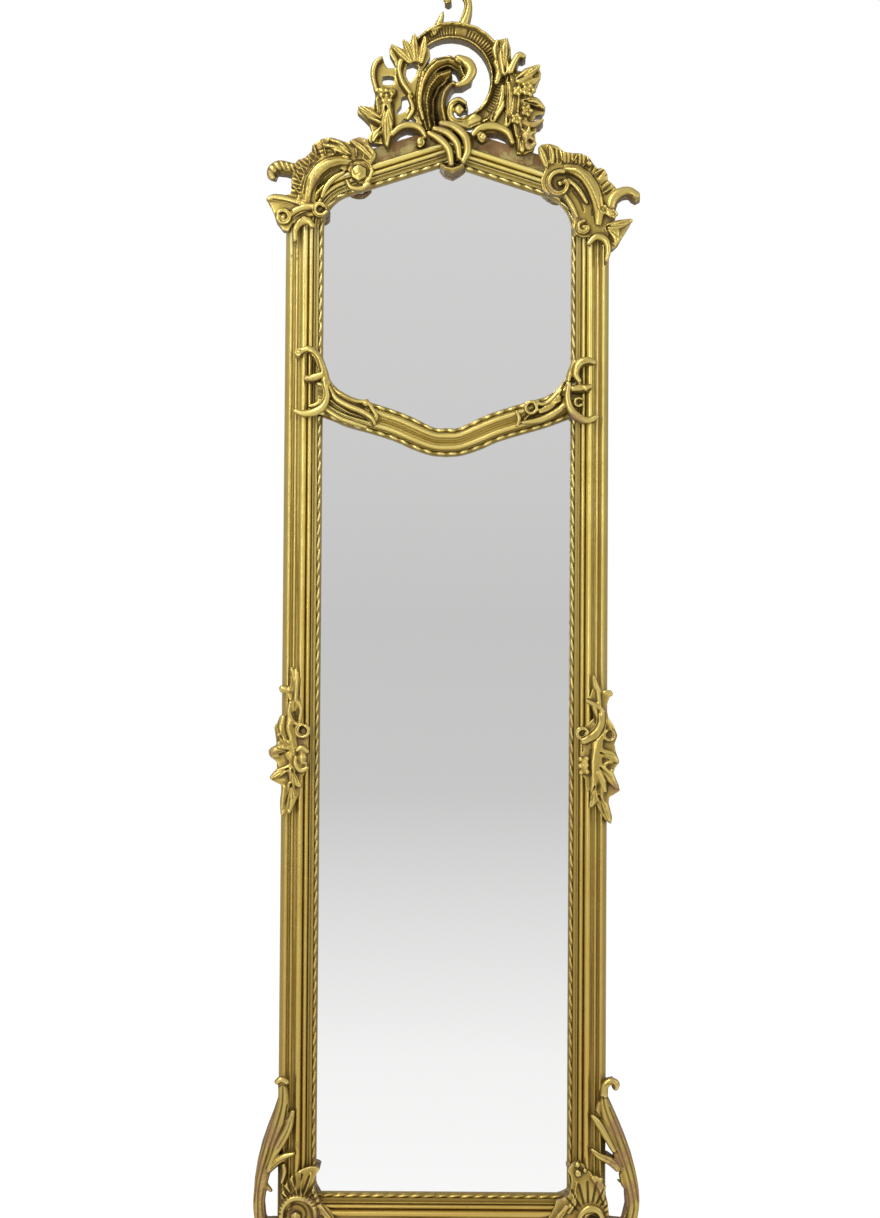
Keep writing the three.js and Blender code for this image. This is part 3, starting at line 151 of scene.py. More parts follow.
# Height of the direction against the tone there: white floor, grey wall, paler ceiling.
tones = [
    (-0.26, 0.99),
    (-0.16, 0.90),
    (-0.10, 0.74),
    (-0.045, 0.585),
    (0.03, 0.56),
    (0.10, 0.60),
    (0.5, 0.75),
]
stops = room.color_ramp.elements
while len(stops) < len(tones):
    stops.new(0.5)
for stop, (height, tone) in zip(stops, tones):
    stop.position = (height - lowest) / (highest - lowest)
    stop.color = (tone, tone, tone, 1)
daylight = backdrop(tree, pure_white, 0.55)
reflected = backdrop(tree, room.outputs[0], 1)
indoors = either(tree, rays["Is Glossy Ray"], daylight, reflected)
shown = either(tree, rays["Is Camera Ray"], indoors, backdrop(tree, pure_white, 1))
add_node(tree, "ShaderNodeOutputWorld", sockets={"Surface": shown})

for name, place, aim, size, tall, power in (
    ("top_left_box", (-1.5, -1.9, 3.4), (0, 0, 1.25), 1.1, 1.1, 40),
    ("right_fill", (2.2, -1.4, 1.7), (0, 0, 0.9), 1.2, 1.2, 8),
    ("left_strip", (-0.75, -1.8, 1.5), (0, 0, 1.3), 0.22, 1.9, 11),
    ("back_fill", (0.4, 2.4, 2.2), (0, 0, 0.9), 1.6, 1.6, 18),
):
    lamp = bpy.data.lights.new(name, "AREA")
    lamp.energy = power
    lamp.shape = "RECTANGLE"
    lamp.size = size
    lamp.size_y = tall
    holder = bpy.data.objects.new(name, lamp)
    holder.location = place
    holder.rotation_euler = (Vector(aim) - Vector(place)).to_track_quat("-Z", "Y").to_euler()
    bpy.context.scene.collection.objects.link(holder)


# ---- The gilt frame: stiles, bottom rail, top corners, raking rails and cross rail ----
# Softwood lengths run with reeds, coated with gesso and red bole, and water-gilded. The burnished crowns are
# worn to the bole in places and carry a painted highlight, and the grooves hold a brown that is partly a
# glaze and partly painted shade.


class Value:
    """A socket's number in shader maths. An expression on values adds its Math nodes."""

    def __init__(self, tree, socket):
        self.tree = tree
        self.socket = socket

    def maths(self, operation, first, second):
        node = add_node(self.tree, "ShaderNodeMath", {"operation": operation}, {0: first, 1: second})
        return Value(self.tree, node.outputs[0])

    def __add__(self, other):
        return self.maths("ADD", self, other)

    def __sub__(self, other):
        return self.maths("SUBTRACT", self, other)

    def __rsub__(self, other):
        return self.maths("SUBTRACT", other, self)

    def __mul__(self, other):
        return self.maths("MULTIPLY", self, other)

    __radd__ = __add__
    __rmul__ = __mul__

    def within(self, low, high):
        """0 below low, 1 above high and smooth between them."""
        sockets = {"Value": self, "From Min": low, "From Max": high}
        node = add_node(self.tree, "ShaderNodeMapRange", {"interpolation_type": "SMOOTHSTEP"}, sockets)
        return Value(self.tree, node.outputs["Result"])


class Finish:
    """A material in the making, on one Principled shader."""

    def __init__(self, name):
        self.material = bpy.data.materials.new(name)
        self.material.use_nodes = True
        self.tree = self.material.node_tree
        self.shader = self.tree.nodes["Principled BSDF"]

    def node(self, kind, settings=(), sockets=()):
        return add_node(self.tree, kind, settings, sockets)

    def value(self, node, output):
        return Value(self.tree, node.outputs[output])

    def place(self):
        return self.node("ShaderNodeTexCoord").outputs["Object"]

    def part(self, vector, axis):
        return self.value(self.node("ShaderNodeSeparateXYZ", sockets={0: vector}), axis)

    def noise(self, scale, detail=3.0, stretch=(1, 1, 1)):
        turned = self.node("ShaderNodeMapping", sockets={"Vector": self.place(), "Scale": stretch}).outputs[0]
        sockets = {"Vector": turned, "Scale": scale, "Detail": detail, "Roughness": 0.6}
        return self.value(self.node("ShaderNodeTexNoise", sockets=sockets), "Fac")

    def mix(self, share, first, second):
        return self.node("ShaderNodeMix", {"data_type": "RGBA"}, {0: share, 6: first, 7: second}).outputs[2]

    def set(self, **sockets):
        for name, value in sockets.items():
            feed(self.tree, self.shader.inputs[name.replace("_", " ")], value)

    def bump(self, height, distance, strength):
        sockets = {"Height": height, "Distance": distance, "Strength": strength}
        self.set(Normal=self.node("ShaderNodeBump", sockets=sockets).outputs[0])


# Painted shade: the leaf is painted darker from the lit top of the frame, in metres, to its foot, as the
# light falls from above, and a little more wear is added towards the foot.
shaded_foot_level = -0.1
lit_top_level = 1.5
wood_stretch = (3.2, 1, 0.16)


def leafed(gilt, colour, metallic, roughness, fine, worn):
    """Leaf on the front. It stops at the edges: what faces the wall is bare softwood, grown dark."""
    behind = gilt.part(gilt.node("ShaderNodeNewGeometry").outputs["Normal"], "Y").within(0.45, 0.8)
    grain = gilt.noise(30, 6, wood_stretch)
    wood = gilt.mix(grain.within(0.35, 0.68), (0.31, 0.20, 0.10, 1), (0.17, 0.10, 0.045, 1))
    leaf_roughness = roughness + worn * 0.2 + fine * 0.10
    gilt.set(
        Base_Color=gilt.mix(behind, colour, wood),
        Metallic=metallic * (1 - behind),
        Roughness=leaf_roughness * (1 - behind) + behind * (0.75 + grain * 0.1),
    )
    gilt.bump(fine * 0.5 + gilt.noise(900, 2) * 0.25 + worn * -0.6, 0.0004, 0.5)
    return gilt.material


def gilding(name, groove_height, crown_height, wear, glaze_and_shade):
    """Burnished leaf. Heights are in front of the wall: below the groove's height lies a brown, partly a
    glaze and partly painted shade.
    """
    bright_leaf = (0.82, 0.675, 0.21, 1)
    warm_leaf = (0.72, 0.56, 0.15, 1)
    shaded_foot_leaf = (0.53, 0.34, 0.075, 1)
    painted_crown_highlight = (0.97, 0.87, 0.42, 1)
    groove_glaze_and_shade = (0.20, 0.135, 0.026, 1)
    crease_dirt_and_shade = (0.13, 0.075, 0.02, 1)
    red_bole = (0.30, 0.13, 0.05, 1)
    gilt = Finish(name)
    height = gilt.part(gilt.place(), "Y") * -1
    raised = (height + (gilt.noise(90) - 0.5) * 0.004).within(groove_height, crown_height)
    patches = gilt.noise(14, 4)
    fine = gilt.noise(260, 5)
    edges = gilt.value(gilt.node("ShaderNodeNewGeometry"), "Pointiness")
    crest = edges.within(0.515, 0.60)
    crease = 1 - edges.within(0.40, 0.49)
    # Painted shade: the leaf is painted darker towards the foot, as light falls from above; the same share
    # adds a little wear there.
    foot_shade_and_wear = 1 - gilt.part(gilt.place(), "Z").within(shaded_foot_level, lit_top_level)
    leaf = gilt.mix(patches.within(0.35, 0.7), bright_leaf, warm_leaf)
    leaf = gilt.mix(foot_shade_and_wear * 0.75, leaf, shaded_foot_leaf)
    # Painted highlight: the crowns are painted paler, towards the top of the frame.
    pale = gilt.mix(crest * (1 - foot_shade_and_wear) * 0.75, leaf, painted_crown_highlight)
    # The grooves take a brown, partly a glaze and partly painted shade.
    glazed_and_shaded = gilt.mix((1 - raised) * glaze_and_shade, pale, groove_glaze_and_shade)
    # The creases are darkened, partly as dirt and partly as painted shade.
    glazed_and_shaded = gilt.mix(crease * 0.65 * (fine.within(0.3, 0.7) * 0.5 + 0.5), glazed_and_shaded, crease_dirt_and_shade)
    worn = (gilt.noise(34, 6) * 0.7 + fine * 0.3 + crest * 0.10 + foot_shade_and_wear * 0.05).within(wear, wear + 0.07)
    colour = gilt.mix(worn * 0.75, glazed_and_shaded, red_bole)
    metallic = 0.88 - worn * 0.55 - (1 - raised) * 0.18
    return leafed(gilt, colour, metallic, 0.26 + (1 - raised) * 0.16, fine, worn)


mould_gilt = gilding("gilded_moulding", 0.030, 0.0385, 0.66, 0.55)

MM = 0.001
sight_half = 187.0
moulding_width = 57.0
base_drop = moulding_width / 2
low_sight = 1100.0
cross_depth = 43.0
cross_low = moulding_width + low_sight
cross_high = cross_low + cross_depth
upper_side = 301.5
spring = cross_high + upper_side
corner_radius = 53.0
rake = math.radians(17.74)
arc_x = sight_half - corner_radius
rake_run = arc_x + corner_radius * math.sin(rake)
slip_back = 18.0
slip_width = 7.0
top_rail_width = 33.0
top_rail_back = 8.3
rebate = 15.0
reed_crown = 42.0
joint = 0.3
mitre = 0.2


def half_round(centre, width, foot, crown, steps):
    turns = [math.pi * step / steps for step in range(steps + 1)]
    return [(centre - width / 2 * math.cos(t), foot + (crown - foot) * math.sin(t)) for t in turns]


# Each point of a profile is (out from the sight line, height in front of the wall).
inner_reeds = [
    (slip_width + joint, 26),
    (11.2, 26),
    *half_round(13.1, 3, 29, 33, 6),
    *half_round(18.7, 6.6, 31, 36.5, 10),
    *half_round(28, 10, 33, reed_crown, 14),
]
outer_reeds = [
    (35.5, 31.5),
    *half_round(39.5, 4.6, 32, 35, 6),
    (43.5, 31),
    *half_round(48.3, 6.5, 31, 36, 10),
    (54, 29.5),
    (moulding_width, 24),
]


def back_of(width, back):
    return [(width, back), (rebate, back), (rebate, slip_back), (slip_width + joint, slip_back)]


full_profile = [*inner_reeds, *outer_reeds, *back_of(moulding_width, 0)]
rail_profile = [*inner_reeds, *back_of(top_rail_width, top_rail_back)]


def skinned(name, points, open_ends=True):
    """A closed mesh over rows of points in millimetres: welded where they meet, and capped if open."""
    rows, columns = points.shape[:2]
    bpy.ops.object.select_all(action="DESELECT")
    bpy.ops.mesh.primitive_grid_add(x_subdivisions=columns - 1, y_subdivisions=rows - 1, size=1)
    piece = bpy.context.object
    piece.name = name
    piece.location = (0, 0, 0)
    piece.data.vertices.foreach_set("co", points.reshape(-1) * MM)
    bpy.ops.object.mode_set(mode="EDIT")
    bpy.ops.mesh.select_all(action="SELECT")
    bpy.ops.mesh.remove_doubles(threshold=1e-6)
    if open_ends:
        bpy.ops.mesh.select_all(action="DESELECT")
        bpy.ops.mesh.select_mode(type="EDGE")
        bpy.ops.mesh.select_non_manifold()
        bpy.ops.mesh.edge_face_add()
        bpy.ops.mesh.select_all(action="SELECT")
    bpy.ops.mesh.normals_make_consistent(inside=False)
    bpy.ops.object.mode_set(mode="OBJECT")
    return piece


def laid(name, profile, stations, place, wobble=0.0):
    """A length of moulding: its profile set up at each station, as a hand-run length wavers a little."""
    ring = [*profile, profile[0]]
    rows = len(stations)
    points = np.zeros((rows, len(ring), 3))
    for row, station in enumerate(stations):
        for column, (out, height) in enumerate(ring):
            drift = wobble * math.sin(0.021 * row * 37 + 1.3 * column) if 0 < row < rows - 1 else 0
            x, z = place(out, station)
            deep = height + drift if height > 30 else height
            points[row, column] = (x, -deep, z - base_drop)
    piece = skinned(name, points)
    bpy.ops.object.shade_smooth_by_angle(angle=math.radians(50))
    return piece


def coat(piece, material):
    piece.data.materials.clear()
    piece.data.materials.append(material)


def finished(piece, material, slot, body, *nodes):
    """The piece takes its finish, moves with its body and stands for its nodes."""
    coat(piece, material)
    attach(piece, body)
    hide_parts(*nodes)


def evenly(low, high, pitch):
    count = max(1, round(abs(high - low) / pitch))
    return [low + (high - low) * step / count for step in range(count + 1)]


def corner_place(side, out, angle):
    reach = corner_radius + out
    return side * (arc_x + reach * math.cos(angle)), spring + reach * math.sin(angle)


def rake_place(side, out, share, gap=0.0):
    start_x = rake_run + out * math.sin(rake)
    start_z = spring + (corner_radius + out) * math.cos(rake)
    full = (start_x - mitre) / math.cos(rake)
    run = gap + (full - gap) * share
    return side * (start_x - run * math.cos(rake)), start_z + run * math.sin(rake)


for label, side in (("left", -1), ("right", 1)):

    def upright_place(out, station, side=side):
        foot = moulding_width - out + mitre
        head = spring - joint
        return side * (sight_half + out), foot + (head - foot) * station

    stile = laid(f"gilt_stile_{label}", full_profile, evenly(0, 1, 0.05), upright_place, 0.12)
    finished(stile, mould_gilt, "gilded_wood", "frame", f"{label}_stile")
    arc = evenly(0, math.pi / 2 - rake, math.radians(4))
    corner = laid(
        f"gilt_corner_{label}",
        full_profile,
        arc,
        lambda out, angle, side=side: corner_place(side, out, angle),
    )
    finished(corner, mould_gilt, "gilded_wood", "frame", f"top_corner_{label}")
    rail = laid(
        f"gilt_rake_{label}",
        rail_profile,
        evenly(0, 1, 0.2),
        lambda out, share, side=side: rake_place(side, out, share, joint),
        0.1,
    )
    finished(rail, mould_gilt, "gilded_wood", "frame", f"top_rail_{label}")

sill = laid(
    "gilt_sill",
    full_profile,
    evenly(-1, 1, 0.2),
    lambda out, share: (share * (sight_half + out - mitre), moulding_width - out),
    0.12,
)
finished(sill, mould_gilt, "gilded_wood", "frame", "bottom_rail")

cross_top_rise = [(0, 0), (0.1, 1), (0.27, 16), (0.41, 26.5), (0.64, 40), (0.8, 49), (0.9, 63), (1, 88)]
cross_bottom_rise = [(0, 0), (0.12, 2), (0.27, 11), (0.4, 22), (0.53, 30), (0.8, 45), (1, 59)]


def smooth_line(points, count):
    """Points along the Catmull-Rom curve through the given points, count to each span."""
    points = [Vector(point) for point in points]
    given = [2 * points[0] - points[1], *points, 2 * points[-1] - points[-2]]
    line = []
    for a, b, c, d in zip(given, given[1:], given[2:], given[3:]):
        for step in range(count):
            t = step / count
            bend = (2 * a - 5 * b + 4 * c - d) * t * t
            line.append(0.5 * (2 * b + (c - a) * t + bend + (3 * b - a - 3 * c + d) * t**3))
    line.append(given[-2])
    return line


def rise_of(points):
    line = smooth_line(points, 24)
    shares, rises = [p[0] for p in line], [p[1] for p in line]
    return lambda x: float(np.interp(min(abs(x) / sight_half, 1), shares, rises))


top_rise = rise_of(cross_top_rise)
bottom_rise = rise_of(cross_bottom_rise)


def cross_place(offset, x):
    top = cross_high + top_rise(x)
    bottom = cross_low + bottom_rise(x)
    return x, (top + bottom) / 2 + offset * (top - bottom) / cross_depth


half_depth = cross_depth / 2
body_half = half_depth - slip_width - joint
cross_half = [
    (0, 34.5),
    (2.6, 31),
    (4.2, 31),
    *half_round(8.6, 7.4, 31, 36.2, 8),
    (body_half - 0.6, 27),
    (body_half, 27),
    (body_half, slip_back),
    (4, slip_back),
    (4, 9.4),
]
cross_profile = [*cross_half, *[(-o, h) for o, h in reversed(cross_half) if o > 0]]
cross_end = sight_half + slip_width
cross = laid("gilt_cross_rail", cross_profile, evenly(-cross_end, cross_end, 9), cross_place)
finished(cross, mould_gilt, "gilded_wood", "frame", "cross_rail")

# ---- Sight slips ----
# Thin gilded fillets glued into the frame along the glass, carved as a ribbon wound on a stick. Their hollows
# keep the brown, partly a glaze and partly painted shade.

slip_gilt = gilding("gilded_slip", 0.0272, 0.0288, 0.70, 0.9)
ribbon_pitch = 19.0
ribbon_slant = 2.4
ribbon_rise = 2.8
ribbon_sink = 1.9
ribbon_foot = 25
slip_middle = 3.5
slip_outline = [
    (0, slip_back),
    (0, 22),
    (1.1, 25.4),
    (2.3, 28.0),
    (3.6, 28.6),
    (5.0, 28.2),
    (6.2, 27.2),
    (slip_width, 25.6),
    (slip_width, slip_back),
]


def ribboned(name, stations, place, length_at, *nodes):
    """A slip whose crown winds: the wave runs slantwise along its length."""
    piece = laid(name, slip_outline, stations, place)
    points = np.empty(len(piece.data.vertices) * 3)
    piece.data.vertices.foreach_get("co", points)
    points = points.reshape(-1, 3)
    for point in points:
        height = -point[1] / MM
        if height > ribbon_foot:
            out, run = length_at(point[0] / MM, point[2] / MM + base_drop)
            wind = abs(math.sin(math.pi * (run + ribbon_slant * out) / ribbon_pitch)) ** 1.3
            point[1] = -(height + ribbon_rise * wind - ribbon_sink) * MM
    piece.data.vertices.foreach_set("co", points.reshape(-1))
    piece.data.update()
    finished(piece, slip_gilt, "gilded_wood", "frame", *nodes)


slip_step = 1.5
cross_end_top = cross_high + top_rise(sight_half)
cross_end_bottom = cross_low + bottom_rise(sight_half)
for label, side in (("left", -1), ("right", 1)):

    def beside(x, z):
        return abs(x) - sight_half, z

    def low_place(out, share, side=side):
        foot = moulding_width - out + mitre
        return side * (sight_half + out), foot + (cross_end_bottom - joint - foot) * share

    shares = evenly(0, 1, slip_step / (cross_end_bottom - moulding_width))
    ribboned(f"ribbon_low_{label}", shares, low_place, beside, f"sight_slip_lower_{label}")
    heights = evenly(cross_end_top + joint, spring - joint, slip_step)
    ribboned(
        f"ribbon_high_{label}",
        heights,
        lambda out, z, side=side: (side * (sight_half + out), z),
        beside,
        f"sight_slip_upper_{label}",
    )
    arc = [("arc", a) for a in evenly(0, math.pi / 2 - rake, math.radians(1.5))]
    run = [("rake", s) for s in evenly(0, 1, 0.009)[1:]]

    def top_place(out, station, side=side):
        kind, spot = station
        return corner_place(side, out, spot) if kind == "arc" else rake_place(side, out, spot)

    def top_run(x, z):
        angle = math.atan2(z - spring, abs(x) - arc_x)
        if angle < math.pi / 2 - rake:
            return math.hypot(abs(x) - arc_x, z - spring) - corner_radius, angle * corner_radius
        return slip_middle, corner_radius * (math.pi / 2 - rake) + (rake_run - abs(x)) / math.cos(rake)

    ribboned(f"ribbon_top_{label}", [*arc, *run], top_place, top_run, f"sight_slip_top_{label}")

ribboned(
    "ribbon_sill",
    evenly(-1, 1, slip_step / sight_half),
    lambda out, share: (share * (sight_half + out - mitre), moulding_width - out),
    lambda x, z: (moulding_width - z, x),
    "sight_slip_bottom",
)
for label, edge in (("top", 1), ("bottom", -1)):
    ribboned(
        f"ribbon_cross_{label}",
        evenly(-cross_end, cross_end, slip_step),
        lambda out, x, edge=edge: cross_place(edge * (half_depth - out), x),
        lambda x, z, edge=edge: (0, x * 1.06),
        f"sight_slip_cross_{label}",
    )

# ---- Mirror plates ----
# Two sheets of silvered glass, flat and polished, with the silver a little dulled and specked by
# age. They lie in the frame's rebate, behind the slips.

plate_glass = Finish("silvered_plate")
haze = plate_glass.noise(5, 3)
specks = plate_glass.noise(420, 2).within(0.74, 0.80)
plate_glass.set(
    Base_Color=plate_glass.mix(specks * 0.35, (0.985, 0.985, 0.98, 1), (0.45, 0.43, 0.38, 1)),
    Metallic=1.0,
    Roughness=0.015 + haze.within(0.4, 0.8) * 0.012,
)
for name in ("upper_mirror_plate", "lower_mirror_plate"):
    coat(frame["nodes"][name], plate_glass.material)

# ---- Backboards, batten and pediment board ----
# Sawn softwood, unfinished: two thin boards in the rebate behind the plates, and the batten that is
# screwed on behind the crest. The pediment board closes the gable and is gilded on its face.

sawn = Finish("sawn_softwood")
grain = sawn.noise(26, 6, wood_stretch)
rays_of_wood = sawn.noise(180, 3, (1, 1, 0.05))
board_colour = sawn.mix(grain.within(0.35, 0.68), (0.36, 0.235, 0.12, 1), (0.20, 0.115, 0.05, 1))
sawn.set(
    Base_Color=sawn.mix(rays_of_wood.within(0.45, 0.75) * 0.4, board_colour, (0.12, 0.07, 0.035, 1)),
    Roughness=0.78 + grain * 0.12,
)
sawn.bump(grain * 0.7 + rays_of_wood * 0.5, 0.0006, 0.6)
for name in ("upper_backboard", "lower_backboard", "crest_strut"):
    coat(frame["nodes"][name], sawn.material)
coat(frame["nodes"]["pediment_board"], gilding("gilded_board", 0.024, 0.030, 0.56, 0.75))

# ---- Carved ornament ----
# Limewood carvings glued over the frame's joints and built up into a pierced crest, gilded with the
# frame. Each starts from its solid's own form, rounded over, and then takes the carver's gouges and
# raised ribs. Their lines are set out in millimetres from the middle of the frame's foot.


def carved_gilding(name):
    """Leaf on carving: darkened in the recesses, partly by a glaze and partly as painted shade, painted pale
    as a highlight on what stands out, and worn to the bole on top.
    """
    bright_leaf = (0.54, 0.405, 0.095, 1)
    warm_leaf = (0.39, 0.275, 0.06, 1)
    shaded_foot_leaf = (0.38, 0.235, 0.045, 1)
    painted_crown_highlight = (0.86, 0.72, 0.27, 1)
    recess_glaze_and_shade = (0.10, 0.062, 0.015, 1)
    red_bole = (0.30, 0.155, 0.075, 1)
    gilt = Finish(name)
    relief = gilt.value(gilt.node("ShaderNodeAttribute", {"attribute_name": "relief"}), "Fac")
    across = gilt.part(gilt.place(), "X")
    tips = (across * across).within(0.054, 0.072)
    patches = gilt.noise(17, 4)
    fine = gilt.noise(300, 5)
    stands = relief.within(0.46, 0.70)
    recess = 1 - relief.within(0.26, 0.52)
    # Painted shade: the leaf is painted darker towards the foot, as light falls from above; the same share
    # adds a little wear there.
    foot_shade_and_wear = 1 - gilt.part(gilt.place(), "Z").within(shaded_foot_level, lit_top_level)
    leaf = gilt.mix(patches.within(0.35, 0.7), bright_leaf, warm_leaf)
    leaf = gilt.mix(foot_shade_and_wear * 0.65, leaf, shaded_foot_leaf)
    # Painted highlight: what stands out is painted paler.
    pale = gilt.mix(stands * 0.5, leaf, painted_crown_highlight)
    # The recesses are darkened, partly as a glaze and partly as painted shade.
    glazed_and_shaded = gilt.mix(recess * (fine.within(0.25, 0.6) * 0.3 + 0.7), pale, recess_glaze_and_shade)
    worn = (gilt.noise(26, 6) * 0.75 + fine * 0.25 + foot_shade_and_wear * 0.04 + tips * 0.10).within(0.56, 0.66)
    colour = gilt.mix(worn * 0.65, glazed_and_shaded, red_bole)
    metallic = 0.88 - worn * 0.5 - recess * 0.35
    return leafed(gilt, colour, metallic, 0.26 + recess * 0.25, fine, worn)


carving_gilt = carved_gilding("gilded_carving")


def about(centre, reach, turn):
    return centre[0] + reach * math.cos(turn), centre[1] + reach * math.sin(turn)


def spiral(centre, radii, start, end):
    """Points round a centre between two angles in degrees, whose distance follows the radii."""
    turns = evenly(start, end, 20)
    reaches = np.interp(np.linspace(0, 1, len(turns)), np.linspace(0, 1, len(radii)), radii)
    return [about(centre, reach, math.radians(turn)) for reach, turn in zip(reaches, turns)]


class Carving:
    """A carved piece in the making: its solid with rolls laid on it, evened, and then its face tooled."""

    grain = 1.15
    roll_sides = 12
    end_reach = 0.6
    end_width = 0.35
    end_fall = 2.5
    relief_passes = 26
    relief_depth = 7

    def __init__(self, node, rounding=3):
        self.node = node
        self.rounding = rounding
        bpy.ops.object.select_all(action="DESELECT")
        source = frame["nodes"][node]
        source.select_set(True)
        bpy.context.view_layer.objects.active = source
        bpy.ops.object.duplicate()
        self.piece = bpy.context.object
        self.piece.name = f"carved_{node}"
        bpy.ops.object.parent_clear(type="CLEAR_KEEP_TRANSFORM")
        bpy.ops.object.transform_apply()
        bpy.ops.object.mode_set(mode="EDIT")
        bpy.ops.mesh.select_all(action="SELECT")
        bpy.ops.mesh.remove_doubles(threshold=1e-6)
        bpy.ops.object.mode_set(mode="OBJECT")
        self.rolls = []
        self.lift = None

    def roll(self, line, widths, crown, thick=11.0):
        """Lays a tapered, round-backed strand over the solid. Its crown is a height before the wall."""
        middle = np.array(smooth_line(line, 5))
        shares = np.linspace(0, 1, len(middle))
        wide = np.interp(shares, np.linspace(0, 1, len(widths)), widths) / 2
        lead = np.gradient(middle, axis=0)
        lead /= np.linalg.norm(lead, axis=1)[:, None]
        first = middle[0] - lead[0] * wide[0] * self.end_reach
        last = middle[-1] + lead[-1] * wide[-1] * self.end_reach
        middle = np.vstack([first, middle, last])
        lead = np.vstack([lead[:1], lead, lead[-1:]])
        wide = np.concatenate([[wide[0] * self.end_width], wide, [wide[-1] * self.end_width]])
        fall = np.concatenate([[self.end_fall], np.zeros(len(shares)), [self.end_fall]])
        turns = np.linspace(0, 2 * math.pi, self.roll_sides + 1)
        across = np.cos(turns)[None, :] * wide[:, None]
        height = crown - thick / 2 - fall[:, None] + np.sin(turns)[None, :] * thick / 2
        points = np.empty((len(middle), len(turns), 3))
        points[:, :, 0] = middle[:, 0:1] - lead[:, 1:2] * across
        points[:, :, 1] = -height
        points[:, :, 2] = middle[:, 1:2] + lead[:, 0:1] * across - base_drop
        self.rolls.append(skinned("roll", points))

    def knob(self, centre, radius, crown):
        """A round boss, as a very short roll."""
        x, z = centre
        line = [(x - 0.3 * radius, z), centre, (x + 0.3 * radius, z)]
        self.roll(line, [1.7 * radius, 2 * radius, 1.7 * radius], crown)

    def flower(self, centre, reach, size, crown, start=0.0):
        """Five petals about a centre, each a small boss."""
        for petal in range(5):
            self.knob(about(centre, reach, 1.25 * petal + start), size, crown)

    def smooth(self, times):
        bpy.ops.object.modifier_add(type="SMOOTH")
        soft = self.piece.modifiers[-1]
        soft.factor = 0.5
        soft.iterations = times
        bpy.ops.object.modifier_apply(modifier=soft.name)

    def even(self):
        """Joins the rolls to the solid in one skin of even, slightly rounded faces."""
        bpy.ops.object.select_all(action="DESELECT")
        for part in (*self.rolls, self.piece):
            part.select_set(True)
        bpy.context.view_layer.objects.active = self.piece
        if self.rolls:
            bpy.ops.object.join()
        bpy.ops.object.modifier_add(type="REMESH")
        skin = self.piece.modifiers[-1]
        skin.mode = "VOXEL"
        skin.voxel_size = self.grain * MM
        bpy.ops.object.modifier_apply(modifier=skin.name)
        self.smooth(self.rounding)
        mesh = self.piece.data
        self.points = np.empty((len(mesh.vertices), 3))
        mesh.vertices.foreach_get("co", self.points.reshape(-1))
        self.face = self.facing()
        self.flat = np.column_stack([self.points[:, 0] / MM, self.points[:, 2] / MM + base_drop])
        self.lift = np.zeros(len(self.points))

    def facing(self):
        """How squarely each spot faces forwards, from 1 in front to -1 behind."""
        normals = np.empty((len(self.piece.data.vertices), 3))
        self.piece.data.vertices.foreach_get("normal", normals.reshape(-1))
        return -normals[:, 1]

    def stroke(self, line, width, lift, sharp=False):
        """Raises the face along a smooth line, or cuts it where the lift is negative."""
        if self.lift is None:
            self.even()
        line = np.array(smooth_line(line, 6) if len(line) > 2 else line)
        widths = np.atleast_1d(width)
        shares = np.linspace(0, 1, len(line))
        widths = np.interp(shares, np.linspace(0, 1, len(widths)), widths) / 2
        reach = widths.max()
        near = np.all((self.flat > line.min(axis=0) - reach) & (self.flat < line.max(axis=0) + reach), axis=1)
        spots = np.flatnonzero(near & (self.face > 0.1))
        here = self.flat[spots]
        nearest = np.full(len(spots), 9.0)
        for start, end, wide, next_wide in zip(line, line[1:], widths, widths[1:]):
            run = end - start
            share = np.clip((here - start) @ run / max(run @ run, 1e-9), 0, 1)
            gap = np.linalg.norm(here - start - share[:, None] * run, axis=1)
            nearest = np.minimum(nearest, gap / np.maximum(wide + (next_wide - wide) * share, 0.1))
        inside = np.clip(1 - nearest, 0, 1)
        form = inside if sharp else np.sin(inside * math.pi / 2)
        self.lift[spots] += lift * form * np.minimum(self.face[spots] * 2, 1)

    def cut(self, line, width=3.2, depth=2.6):
        self.stroke(line, width, -depth, True)

    def bars(self, inner, outer, count, width=3.2, depth=2.8):
        """Short cuts from one line across to another, evenly spaced."""
        shares = np.linspace(0, 1, count)
        ends = []
        for line in (inner, outer):
            line = np.array(smooth_line(line, 12))
            along = np.linspace(0, 1, len(line))
            ends.append(np.column_stack([np.interp(shares, along, line[:, axis]) for axis in (0, 1)]))
        for crossing in zip(*ends):
            self.cut(crossing, width, depth)

    def veins(self, root, tips, width=3.2, depth=2.5):
        """Cuts fanned from one root to each tip, bowed a little."""
        for tip in tips:
            middle = (0.45 * root[0] + 0.55 * tip[0], 0.5 * root[1] + 0.5 * tip[1])
            self.stroke([root, middle, tip], [width, width, 0.4 * width], -depth, True)

    def curl(self, centre, radii, angles, width=3.2, depth=2.6):
        """A cut round a centre, from one angle in degrees to another."""
        self.cut(spiral(centre, radii, *angles), width, depth)

    def done(self):
        """Moves the face, eases it, and writes how far each spot stands out from what is round it."""
        mesh = self.piece.data
        self.points[:, 1] = np.maximum(self.points[:, 1] - self.lift * MM, cad_low[1] + 0.0003)
        mesh.vertices.foreach_set("co", self.points.reshape(-1))
        mesh.update()
        bpy.context.view_layer.objects.active = self.piece
        self.smooth(1)
        mesh.vertices.foreach_get("co", self.points.reshape(-1))
        ends = np.empty(len(mesh.edges) * 2, dtype=int)
        mesh.edges.foreach_get("vertices", ends)
        one, other = ends.reshape(-1, 2).T
        count = np.maximum(np.bincount(ends, minlength=len(self.points)), 1)
        level = -self.points[:, 1] / MM
        around = level.copy()
        for _ in range(self.relief_passes):
            total = np.bincount(one, around[other], len(level)) + np.bincount(other, around[one], len(level))
            around = total / count
